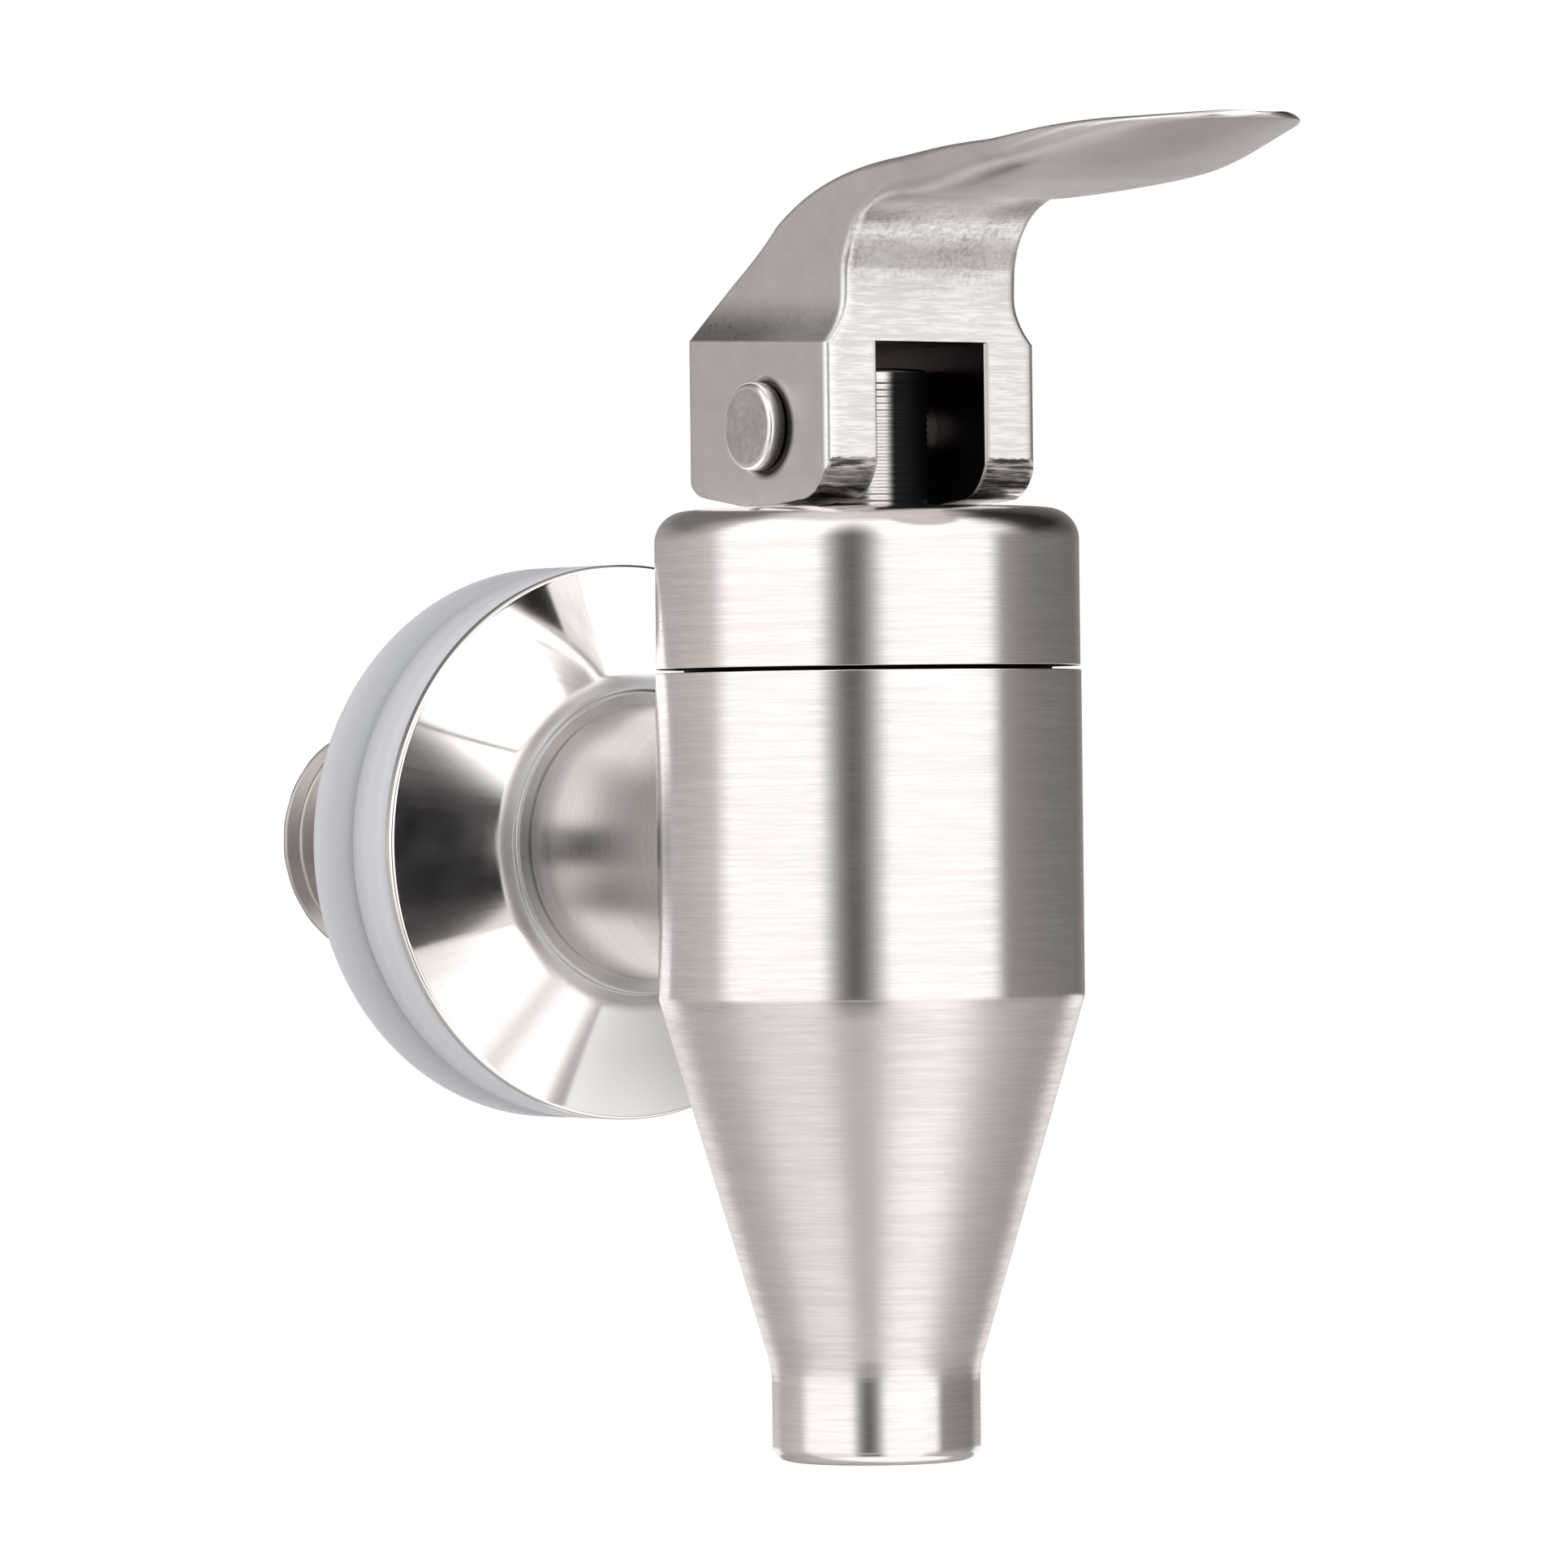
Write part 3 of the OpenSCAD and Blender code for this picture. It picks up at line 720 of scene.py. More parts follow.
    def worn(
        self, n: Nodes, place: Socket, colour: Socket, masks: dict[str, Socket], streak: Socket,
    ) -> Socket:
        """Draws scratches along the streaks of the front, and cloudy specks on the neck."""
        lines = n.times(n.times(n.climb(streak, 0.58, 3.2), masks["front"]), 0.24)
        colour = n.mixed(lines, colour, self.scratch)
        speck = n.climb(n.noise(place, 3400.0, 3.0, 0.6), 0.44, 6.0)
        cloud = n.climb(n.noise(place, 420.0, 4.0, 0.7), 0.25, 2.4)
        cloud = n.times(cloud, n.plus(n.times(speck, 0.6), 0.4))
        return n.mixed(n.times(n.times(masks["neck"], cloud), 0.95), colour, self.scratch)

    def hollows(self, n: Nodes, place: Socket, mask: Socket) -> Socket:
        """Gives how much painted shade darkens the hollows above the crease: their mark, with pits."""
        pits = n.climb(n.noise(place, 2600.0, 3.0, 0.7), 0.56, 5.0)
        return n.times(mask, n.plus(n.times(pits, 0.3), 0.75), clamp=True)

    def pin_shadow(self, n: Nodes, place: Socket, front: Socket) -> Socket:
        """Gives the painted shadow round the pin's head: (radius - distance from its middle along the ear),
        held between 0 and 1 and left out on the front."""
        from_pin = n.add("ShaderNodeVectorMath", operation="SUBTRACT")
        n.link(place, from_pin.inputs[0])
        from_pin.inputs[1].default_value = (0.0, *(v * MM for v in self.pin_shadow_middle))
        flat = n.add("ShaderNodeVectorMath", operation="MULTIPLY")
        n.link(from_pin.outputs[0], flat.inputs[0])
        flat.inputs[1].default_value = (0.0, 1 / MM, 1 / MM)
        away = n.add("ShaderNodeVectorMath", operation="LENGTH")
        n.link(flat.outputs[0], away.inputs[0])
        disc = n.times(n.minus(self.pin_shadow_r, away.outputs["Value"]), 2.5, clamp=True)
        return n.times(disc, n.minus(1.0, front, clamp=True))


@dataclass(frozen=True)
class SoftFinish:
    """Silicone or bearing plastic: coloured, a little cloudy, with light inside it, and with painted shade
    where its marks say.
    """

    name: str
    slot: str
    colour: Triple
    second: Triple
    roughness: float = 0.4
    inside: float = 0.35
    depth: float = 0.0025
    bump: float = 6e-6

    def material(self, groups: GroupShelf) -> bpy.types.Material:
        """Builds the material.

        Args:
            groups: the shelf of shared node groups.

        Returns:
            The material.
        """
        mat, n = blank_material(self.name)
        place = n.add("ShaderNodeTexCoord").outputs["Object"]
        tone = groups.place(
            n, Group.STAIN, Place=place, Base=(*self.colour, 1.0), Second=(*self.second, 1.0),
            Size=90.0, Amount=0.45,
        )
        # painted shade where the two washers meet, and at their outer faces
        valley, rim = n.times(n.mark("valley"), 0.75), n.times(n.mark("rim"), 0.5)
        colour = n.mixed(valley, tone.outputs["Color"], tuple(0.72 * c for c in self.second))
        colour = n.mixed(rim, colour, tuple(0.45 * c for c in self.second))
        skin = n.noise(place, 2500.0, 3.0, 0.6)
        rough = n.plus(n.times(skin, 0.16), self.roughness - 0.08)
        n.principled(
            colour, rough, n.bump(skin, self.bump), Subsurface_Weight=self.inside,
            Subsurface_Radius=(0.9, 1.0, 1.1), Subsurface_Scale=self.depth, IOR=1.42,
        )
        return mat


BODY_STEEL = MetalFinish("body_turned_steel", "brushed_steel", squeeze=(330.0, 330.0, 12000.0), grain=0.35)
CAP_STEEL = MetalFinish(
    "cap_turned_steel", "brushed_steel", squeeze=(280.0, 280.0, 10000.0), grain=0.5, roughness=0.13,
)
NECK_STEEL = MetalFinish(
    "neck_turned_steel", "turned_steel", colour=(0.73, 0.675, 0.64), squeeze=(60.0, 9000.0, 60.0),
    roughness=0.27,
)
SHANK_STEEL = MetalFinish(
    "shank_thread_steel", "turned_steel", colour=(0.58, 0.53, 0.505), stain=(0.42, 0.375, 0.35),
    squeeze=(80.0, 7000.0, 80.0), roughness=0.28, stain_amount=0.5,
)
FLANGE_STEEL = MetalFinish(
    "flange_mirror_steel", "polished_steel", colour=(0.97, 0.96, 0.95), stain=(0.93, 0.915, 0.905),
    stain_amount=0.25, roughness=0.045, streak_gain=0.02, line_depth=0.0, grain=0.02,
    squeeze=(400.0, 400.0, 400.0), edge_wear=0.4,
)
NUT_STEEL = MetalFinish(
    "nut_milled_steel", "turned_steel", colour=(0.80, 0.76, 0.735), squeeze=(900.0, 7000.0, 900.0),
    roughness=0.26,
)
STEM_STEEL = MetalFinish(
    "stem_threaded_steel", "turned_steel", colour=(0.92, 0.89, 0.87), squeeze=(70.0, 70.0, 9000.0),
    roughness=0.2,
)
PIN_STEEL = MetalFinish(
    "pin_faced_steel", "turned_steel", colour=(0.76, 0.73, 0.715), stain=(0.52, 0.49, 0.48), stain_amount=0.7,
    stain_size=700.0, squeeze=(2500.0, 2500.0, 2500.0), roughness=0.24, grain=0.5, edge_wear=1.0,
)
SPRING_STEEL = MetalFinish(
    "spring_wire_steel", "spring_steel", colour=(0.71, 0.70, 0.69), squeeze=(900.0, 900.0, 900.0),
    roughness=0.22,
)
LEVER_STEEL = CastFinish()
WASHER_SILICONE = SoftFinish("washer_silicone", "silicone", (0.60, 0.605, 0.625), (0.535, 0.55, 0.59))
CUP_SILICONE = SoftFinish("cup_silicone", "silicone", (0.66, 0.68, 0.70), (0.60, 0.63, 0.67))
BEARING_PLASTIC = SoftFinish(
    "bearing_plastic", "white_plastic", (0.84, 0.84, 0.82), (0.78, 0.78, 0.75), roughness=0.45, inside=0.1
)


@dataclass
class Bench:
    """The place where pieces are dressed: gives each one its finish, its body and the node it stands for."""

    groups: GroupShelf
    materials: dict[str, bpy.types.Material]

    def dress(
        self, obj: bpy.types.Object, finish: MetalFinish | CastFinish | SoftFinish, body: str, *nodes: str,
    ) -> None:
        """Finishes a new piece.

        Args:
            obj: the piece.
            finish: its finish.
            body: the CAD body that it rides on.
            nodes: the CAD nodes that it stands for.
        """
        if finish.name not in self.materials:
            self.materials[finish.name] = finish.material(self.groups)
        obj.data.materials.clear()
        obj.data.materials.append(self.materials[finish.name])
        if nodes:
            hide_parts(*nodes)
        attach(obj, body)
        log.info("%s: %d faces, %s", obj.name, len(obj.data.polygons), finish.name)


# Sub-assemblies


@dataclass
class ValveHousing:
    """The turned body with its cone and spout, and the screw cap on it."""

    rim_z: float = 10.68
    cone_z: float = -9.75
    spout_r: float = 6.55
    spout_top: float = -33.05
    spout_z: float = -38.85
    outlet_r: float = 4.75
    thread_r: float = 11.6
    chamber_r: float = 10.2
    cap_r: float = 13.35
    cap_z: float = 10.93
    cap_edge: float = 2.0
    cap_bore: float = 5.1
    cap_inside: float = 8.6
    # where the painted shade at the nick on the top edge sits, and its width and height
    nick_at: float = 202.0
    nick_w: float = 1.6
    nick_h: float = 0.14
    inlet_hole: float = 5.72
    seat_r: float = 5.85
    seat_recess_r: float = 6.75
    seat_recess: float = 1.4

    def body(self) -> bpy.types.Object:
        """Builds the valve body: its outline turned round the body's axis, with the inlet's hole cut in.

        The marks say how matte a point is: 1 on the blasted cone, 0 on the cylinder and the spout. The rim
        face and the thread inside the gap under the cap are darkened with painted shade.
        """
        outline, edge = rounded_profile([
            (self.outlet_r, self.spout_z, 0.3),
            (self.spout_r, self.spout_z, 0.9),
            (self.spout_r, self.spout_top, 5.0),
            (BODY_R, self.cone_z, 1.2),
            (BODY_R, self.rim_z, 0.07),
            (self.thread_r, self.rim_z, 0.1),
            (self.thread_r, LEDGE_Z, 0.0),
            (self.chamber_r, LEDGE_Z, 0.1),
            (self.chamber_r, SEAT_Z + 2.6, 0.5),
            (self.seat_recess_r, SEAT_Z - self.seat_recess, 0.3),
            (self.seat_r, SEAT_Z - self.seat_recess, 0.0),
            (self.seat_r, SEAT_Z, 0.2),
            (self.outlet_r, SEAT_Z, 0.2),
        ], turn=8.0)
        r, z = outline.T
        cone = ease(z, self.spout_top - 1.5, self.spout_top + 1.5)
        cone = cone * (1 - ease(z, self.cone_z - 1.2, self.cone_z + 0.4))
        inside = (r < BODY_R - 0.5) & (z > self.cone_z) | (r < self.outlet_r + 0.05)
        worn = (edge > 0) & (np.abs(z - self.spout_top) > 2) & (np.abs(z - self.cone_z) > 1.5)
        edge = np.where(worn, edge, 0) * 0.7
        matte = np.where(inside, 0.6, cone)
        # painted shade: the rim face and the thread inside the gap under the cap are drawn near black
        seam = (r < BODY_R - 0.06) & (z > LEDGE_Z + 0.5) & (r > self.thread_r - 0.5)
        dark = np.where(seam, 1.0, 0.0)
        marks = {"edge": edge[:, None], "matte": matte[:, None], "dark": dark[:, None]}
        grid = Surface.grid(turned(outline, Axis.BODY), marks)
        obj = grid.piece("valve_body_turned")
        hole, _ = rounded_profile([
            (0, AXIS_Y, 0),
            (self.inlet_hole, AXIS_Y, 0),
            (self.inlet_hole, AXIS_Y + 16, 0),
            (0, AXIS_Y + 16, 0),
        ])
        cut(obj, [Surface.grid(turned(hole, Axis.SHANK, 96))])
        return obj

    def cap(self) -> bpy.types.Object:
        """Builds the screw cap: its outline turned round the body's axis.

        The edge at the top has one spot of painted shade at a small nick, which falls off as a bell curve to
        its sides. The cap's foot face in the gap over the body is darkened with painted shade as well.
        """
        outline, edge = rounded_profile([
            (self.cap_bore, ROOF_Z, 0.0),
            (self.cap_bore, CAP_TOP, 0.2),
            (self.cap_r, CAP_TOP, self.cap_edge),
            (self.cap_r, self.cap_z, 0.07),
            (self.thread_r - 0.02, self.cap_z, 0.0),
            (self.thread_r - 0.02, CAP_FOOT, 0.1),
            (self.cap_inside, CAP_FOOT, 0.1),
            (self.cap_inside, ROOF_Z, 0.3),
        ], turn=6.0)
        r, z = outline.T
        edge = np.where((edge > 0) & (z < self.cap_z + 0.5), edge, 0) * 0.4
        # painted shade on the cap's foot face in the gap over the body, and on the hidden faces below it
        dark = np.where((r < self.cap_r - 0.06) & (z < self.cap_z + 0.1), 1.0, 0.0)
        turn = np.linspace(0, 360, TURN_STEPS, endpoint=False)
        # painted shade at the nick on the top edge
        sideways = ((turn - self.nick_at) / self.nick_w) ** 2
        upright = ((z - CAP_TOP + 0.12) / self.nick_h) ** 2
        nick = 0.85 * np.exp(-sideways[None, :] - upright[:, None])
        marks = {"edge": edge[:, None], "dark": np.maximum(dark[:, None], nick * (r > 10)[:, None])}
        return Surface.grid(turned(outline, Axis.BODY), marks).piece("bonnet_cap_turned")

    def build(self, bench: Bench) -> None:
        """Builds and dresses the housing's two turned pieces."""
        bench.dress(self.body(), BODY_STEEL, "housing", "valve_body")
        bench.dress(self.cap(), CAP_STEEL, "housing", "bonnet_cap")


@dataclass
class InletLine:
    """The neck tube with its threaded shank, the flange, the two washers and the lock nut."""

    neck_r: float = 8.95
    spigot_r: float = 5.7
    spigot_y: float = AXIS_Y + 10.8
    shoulder_y: float = -7.9
    shank_r: float = 8.0
    shank_end: float = 26.4
    bore_r: float = 4.5
    pitch: float = 2.0
    thread_depth: float = 1.05
    flange_r: float = 18.1
    flange_back: float = -5.0
    flange_rim: float = 0.75
    collar_r: float = 9.9
    collar_step: float = 0.6
    corner_w: float = 1.2
    washer_t: float = 5.0
    washer_edge: float = 1.4
    washer_bore: float = 8.02
    nut_af: float = 24.0
    nut_t: float = 5.0
    nut_bore: float = 8.05
    nut_mouth: float = 8.6

    def neck(self) -> Surface:
        """The plain tube between body and flange. Its first ring lies on the body's cylinder:
        its place along Y is the axis plus the root of body radius squared less x squared."""
        rows, rings = [], 30
        a = np.linspace(0, 2 * np.pi, TURN_STEPS, endpoint=False)
        x, z = self.neck_r * np.cos(a), self.neck_r * np.sin(a)
        start = AXIS_Y + np.sqrt(BODY_R**2 - x**2) - 0.04
        end = self.shoulder_y - 0.22
        for t in np.concatenate([[0, 0.01], np.linspace(0.04, 0.99, rings), [1.0]]):
            rows.append(np.stack([x, start + (end - start) * t, z], -1))
        for k in np.linspace(0, 1, 4)[1:]:
            shrink = 1 - 0.022 * k
            rows.append(np.stack([x * shrink, np.full_like(x, end + 0.2 * k), z * shrink], -1))
        inner = self.spigot_r / self.neck_r
        rows.append(np.stack([x * inner, np.full_like(x, self.shoulder_y - 0.02), z * inner], -1))
        sx, sz = x * inner, z * inner
        rows.append(np.stack([sx, AXIS_Y + np.sqrt(BODY_R**2 - sx**2) - 0.04, sz], -1))
        points = np.stack(rows)
        edge = np.zeros(len(rows))
        edge[-6:-3] = 0.8
        return Surface.grid(points, {"edge": edge[:, None]})

    def shank(self) -> Surface:
        """The spigot and the threaded shank. The thread's radius falls from the crest by the
        thread's depth times a flattened triangle wave of (y / pitch - angle / full turn)."""
        y0, y1, lead = self.shoulder_y, self.shank_end, 1.0
        y = np.linspace(y0 + 0.02, y1, 360)
        a = np.linspace(0, 2 * np.pi, 144, endpoint=False)
        phase = (y[:, None] / self.pitch - a[None, :] / (2 * np.pi)) % 1.0
        wave = np.clip(np.abs(phase - 0.5) * 2 * 1.25 - 0.12, 0, 1)
        run_out = ease(y, y0 + 1.0, y0 + 2.5)[:, None]
        crest = self.shank_r - np.clip(y - (y1 - lead), 0, lead)[:, None]
        r = np.minimum(self.shank_r - self.thread_depth * (1 - wave) * run_out, crest)
        outer = np.stack([r * np.cos(a), np.repeat(y[:, None], len(a), 1), -r * np.sin(a)], -1)
        ends = np.array([
            (self.bore_r, y1),
            (self.bore_r, y1 - 0.1),
            (self.bore_r, self.spigot_y + 0.1),
            (self.bore_r, self.spigot_y),
            (self.spigot_r, self.spigot_y),
            (self.spigot_r, self.spigot_y + 0.1),
            (self.spigot_r, y0),
            (self.shank_r - 0.05, y0),
        ])
        rest = turned(ends, Axis.SHANK, len(a))
        return Surface.grid(np.concatenate([outer, rest]))

    def flange(self) -> Surface:
        """The polished disc: a collar, a soft corner and a flare. Corner and flare are two cubic
        curves that share their slope at the flare's foot, and the flare flattens towards the rim. A ring
        of painted shade darkens the corner next to the collar."""
        rim = np.array([self.flange_r - 0.3, self.flange_back - self.flange_rim])
        foot = np.array([self.collar_r + self.corner_w, self.shoulder_y + self.collar_step])
        third = (rim[0] - foot[0]) / 3
        slope = (rim[1] - foot[1]) / (rim[0] - foot[0])
        t = np.linspace(0, 1, 25)
        corner = bezier([
            (self.collar_r, self.shoulder_y + 0.25),
            (self.collar_r, self.shoulder_y + 0.7 * self.collar_step),
            tuple(foot - self.corner_w / 2 * np.array([1, 1.27 * slope])),
            tuple(foot),
        ], t)
        flare = bezier([
            tuple(foot),
            tuple(foot + third * np.array([1, 1.27 * slope])),
            tuple(rim - third * np.array([1, 0.72 * slope])),
            tuple(rim),
        ], np.linspace(0, 1, 49)[1:])
        outline, edge = rounded_profile([
            (self.flange_r, rim[1] + 0.05, 0.28),
            (self.flange_r, self.flange_back, 0.08),
            (self.washer_bore, self.flange_back, 0.05),
            (self.washer_bore, self.shoulder_y, 0.1),
            (self.collar_r, self.shoulder_y, 0.24),
            *((r, y, 0.0) for r, y in np.vstack([corner, flare])),
        ], turn=7.0)
        r, y = outline.T
        # painted shade: a dark ring in the corner next to the collar
        past_collar = ease(r, self.collar_r + 0.5 * self.corner_w, self.collar_r + 1.15 * self.corner_w)
        dark = 0.5 * (1 - past_collar) * (y < self.flange_back - 1)
        marks = {"edge": (edge * 0.4 * (r > self.flange_r - 1))[:, None], "dark": dark[:, None]}
        return Surface.grid(turned(outline, Axis.SHANK, 288), marks)

    def washer(self, y0: float) -> Surface:
        """One silicone ring with rounded outer edges. Its marks tell how near a point lies to the
        tank wall's plane, where the two rings meet, and to its outer faces; both marks darken the ring with
        painted shade."""
        outline, _ = rounded_profile([
            (self.washer_bore, y0, 0.2),
            (self.flange_r, y0, self.washer_edge),
            (self.flange_r, y0 + self.washer_t, self.washer_edge),
            (self.washer_bore, y0 + self.washer_t, 0.2),
        ], turn=6.0)
        y = outline[:, 1]
        # painted shade towards the plane where the two rings meet, and at their outer faces
        valley = 1 - ease(np.abs(y), 0.6, 2.6)
        rim = ease(np.abs(y), 4.3, 5.0)
        marks = {"valley": valley[:, None], "rim": rim[:, None]}
        return Surface.grid(turned(outline, Axis.SHANK, 256), marks)

    def nut(self) -> Surface:
        """The hexagon nut. At angle a its flat lies at half the width divided by cos of the angle
        from the flat's middle, and a cone at each end caps that radius."""
        y0, y1 = self.washer_t, self.washer_t + self.nut_t
        a = np.linspace(0, 2 * np.pi, 384, endpoint=False)
        hexagon = self.nut_af / 2 / np.cos((a + np.pi / 6) % (np.pi / 3) - np.pi / 6)
        middle = np.linspace(y0 + 1.3, y1 - 1.3, 8)
        y = np.concatenate([y0 + np.linspace(0, 1.1, 16), middle, y1 - np.linspace(1.1, 0, 16)])
        depth = np.minimum(y - y0, y1 - y)[:, None]
        r = np.minimum(hexagon[None, :], self.nut_af / 2 - 0.15 + depth / 0.58)
        side = np.stack([r * np.cos(a), np.repeat(y[:, None], len(a), 1), -r * np.sin(a)], -1)
        bore = np.array([
            (self.nut_mouth, y1),
            (self.nut_bore, y1 - 0.5),
            (self.nut_bore, y0 + 0.5),
            (self.nut_mouth, y0),
        ])
        return Surface.grid(np.concatenate([side, turned(bore, Axis.SHANK, len(a))]))

    def build(self, bench: Bench) -> None:
        """Builds and dresses the pieces along the shank."""
        bench.dress(self.neck().piece("neck_tube"), NECK_STEEL, "housing", "inlet_shank")
        bench.dress(self.shank().piece("threaded_shank", 50), SHANK_STEEL, "housing", "inlet_shank")
        bench.dress(self.flange().piece("flange_polished"), FLANGE_STEEL, "housing", "flange")
        front = self.washer(-self.washer_t).piece("front_washer_ring")
        bench.dress(front, WASHER_SILICONE, "housing", "front_washer")
        rear = self.washer(0.0).piece("rear_washer_ring")
        bench.dress(rear, WASHER_SILICONE, "housing", "rear_washer")
        bench.dress(self.nut().piece("lock_nut_hex", 18), NUT_STEEL, "housing", "lock_nut")


@dataclass
class ValveInsides:
    """What the cap hides: bush, slip ring, seat cup, spring and foot, and the stem, which comes out
    at the top."""

    stem_r: float = 3.9
    stem_top: float = PIVOT_Z + 3.6
    stem_foot_z: float = -3.76
    collar_z: float = 7.9
    collar_r: float = 7.3
    bush_r: float = 5.08
    spring_z: float = 8.9
    spring_top: float = 18.05
    wire_r: float = 0.6
    coils: float = 4.5
    ridge: float = 0.07
    ridge_pitch: float = 0.42
    # heading of the stem's side that gets painted shade
    shade_heading: float = -33.0
    thread_bore: float = 2.02
    thread_depth: float = 4.5
    cross_hole_r: float = 2.18
    stud_r: float = 2.0
    stud_l: float = 4.2
    waist_r: float = 2.92
    knob_r: float = 4.71
    knob_top: float = 1.4
    knob_foot: float = 5.6
    bush_bore: float = 3.98
    nose_r: float = 5.85
    bell_r: float = 9.04
    rim_r: float = 11.5
    mouth_r: float = 8.6
    rim_top: float = 7.2
    lip_r: float = 2.96
    lip_foot: float = -4.46
    pocket_r: float = 4.73
    pocket_z: float = -9.4

    def stem(self) -> bpy.types.Object:
        """The stem: its radius carries fine ridges above the cap, a sine of the height with the
        ridge's pitch. Painted shade darkens one side; the mark falls with the cosine of the angle from
        that side."""
        low, collar = self.stem_foot_z, self.collar_z
        outline, edge = rounded_profile([
            (0, self.stem_top, 0),
            (0, low + self.thread_depth, 0),
            (self.thread_bore, low + self.thread_depth, 0),
            (self.thread_bore, low, 0),
            (self.stem_r, low, 0.2),
            (self.stem_r, collar, 0.1),
            (self.collar_r, collar, 0.15),
            (self.collar_r, collar + 1, 0.15),
            (self.stem_r, collar + 1, 0.1),
            (self.stem_r, self.stem_top, 0.3),
        ])
        dense, mark = supported(outline, edge, pad=0.04, step=0.06)
        ridged = (dense[:, 1] > CAP_TOP + 0.1) & (dense[:, 1] < self.stem_top - 0.5) & (dense[:, 0] > 3)
        wave = self.ridge * (0.5 - 0.5 * np.cos(2 * np.pi * dense[:, 1] / self.ridge_pitch))
        dense[:, 0] -= np.where(ridged, wave, 0)
        turn = np.linspace(0, 2 * np.pi, 128, endpoint=False)
        # painted shade on one side of the stem
        side = ease(np.cos(turn - math.radians(self.shade_heading)), 0.28, 0.46)
        shaded_side = side[None, :] * (dense[:, 1] < self.stem_top - 0.2)[:, None]
        marks = {"edge": (mark * 0.6)[:, None], "dark": 0.98 * shaded_side}
        obj = Surface.grid(turned(dense, Axis.BODY, 128), marks).piece("stem_turned", 50)
        hole = np.array([(0, -8), (self.cross_hole_r, -8), (self.cross_hole_r, 8), (0, 8)], float)
        cut(obj, [Surface.grid(turned(hole, Axis.PIN, 96))], 50)
        return obj

    def spring(self) -> Surface:
        """The return spring: a circle of wire carried along a helix, whose ends lie flat because the
        rise follows a smooth step over the first and the last half turn."""
        u = np.linspace(0, 1, 400)
        a = 2 * np.pi * self.coils * u
        mean_r = self.bush_r + self.wire_r + 0.35
        z = self.spring_z + self.wire_r + (self.spring_top - self.spring_z - 2 * self.wire_r) * u
        b = np.linspace(0, 2 * np.pi, 20, endpoint=False)
        r = mean_r + self.wire_r * np.cos(b)[None, :]
        height = z[:, None] + self.wire_r * np.sin(b)[None, :]
        points = np.stack([r * np.cos(a)[:, None], AXIS_Y + r * np.sin(a)[:, None], height], -1)
        ends = points.mean(1, keepdims=True)
        first, last = np.repeat(ends[:1], 20, 1), np.repeat(ends[-1:], 20, 1)
        return Surface.grid(np.concatenate([first, points, last]), loop_rows=False)

    def foot(self) -> Surface:
        """The screwed foot with its knob."""
        z = self.stem_foot_z
        outline, _ = rounded_profile([
            (0, z - self.knob_foot, 0),
            (self.knob_r, z - self.knob_foot, 0.5),
            (self.knob_r, z - self.knob_top, 0.3),
            (self.waist_r, z - self.knob_top, 0.1),
            (self.waist_r, z, 0.1),
            (self.stud_r, z, 0),
            (self.stud_r, z + self.stud_l, 0.3),
            (0, z + self.stud_l, 0),
        ])
        return Surface.grid(turned(outline, Axis.BODY, 96))

    def cup(self) -> Surface:
        """The bell-shaped seat cup. Its inner lip leaves the knob room to rise as the cup is squashed."""
        outline, _ = rounded_profile([
            (0, SEAT_Z, 0),
            (self.nose_r, SEAT_Z, 0.8),
            (self.nose_r, -4.15, 1.0),
            (self.bell_r, 4.6, 0.6),
            (self.bell_r, LEDGE_Z, 0.1),
            (self.rim_r, LEDGE_Z, 0.2),
            (self.rim_r, self.rim_top, 0.2),
            (self.mouth_r, self.rim_top, 0.2),
            (7.94, 4.8, 0.5),
            (self.pocket_r, -3.5, 0.1),
            (4.5, -3.86, 0.1),
            (self.lip_r, -3.95, 0.1),
            (self.lip_r, self.lip_foot, 0),
            (self.pocket_r, self.lip_foot, 0.2),
            (self.pocket_r, self.pocket_z, 0.3),
            (0, self.pocket_z, 0),
        ])
        return Surface.grid(turned(outline, Axis.BODY, 128))

    def bush(self) -> Surface:
        """The guide bush in the cap's roof."""
        outline, _ = rounded_profile([
            (self.bush_bore, self.spring_top, 0.1),
            (self.collar_r, self.spring_top, 0.15),
            (self.collar_r, ROOF_Z, 0.1),
            (self.bush_r, ROOF_Z, 0.1),
            (self.bush_r, CAP_TOP, 0.15),
            (self.bush_bore, CAP_TOP, 0.15),
        ])
        return Surface.grid(turned(outline, Axis.BODY, 128))

    def slip_ring(self) -> Surface:
        """The thin ring under the cap's foot."""
        outline, _ = rounded_profile([
            (self.mouth_r, self.rim_top, 0.1),
            (self.rim_r, self.rim_top, 0.1),
            (self.rim_r, CAP_FOOT, 0.1),
            (self.mouth_r, CAP_FOOT, 0.1),
        ])
        return Surface.grid(turned(outline, Axis.BODY, 128))

    def build(self, bench: Bench) -> None:
        """Builds and dresses the stem and the hidden pieces."""
        bench.dress(self.stem(), STEM_STEEL, "stem", "stem")
        bench.dress(self.foot().piece("stem_foot_knob"), BEARING_PLASTIC, "stem", "stem_foot")
        bench.dress(self.bush().piece("stem_bush_guide"), BEARING_PLASTIC, "housing", "stem_bush")
        bench.dress(self.slip_ring().piece("slip_ring_thin"), BEARING_PLASTIC, "housing", "slip_ring")
        spring = self.spring().piece("return_spring_wire", 60)
        bench.dress(spring, SPRING_STEEL, "housing", "return_spring")
        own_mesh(spring)
        cup = self.cup().piece("seat_cup_bell")
        bench.dress(cup, CUP_SILICONE, "housing", "seat_cup")
        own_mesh(cup)


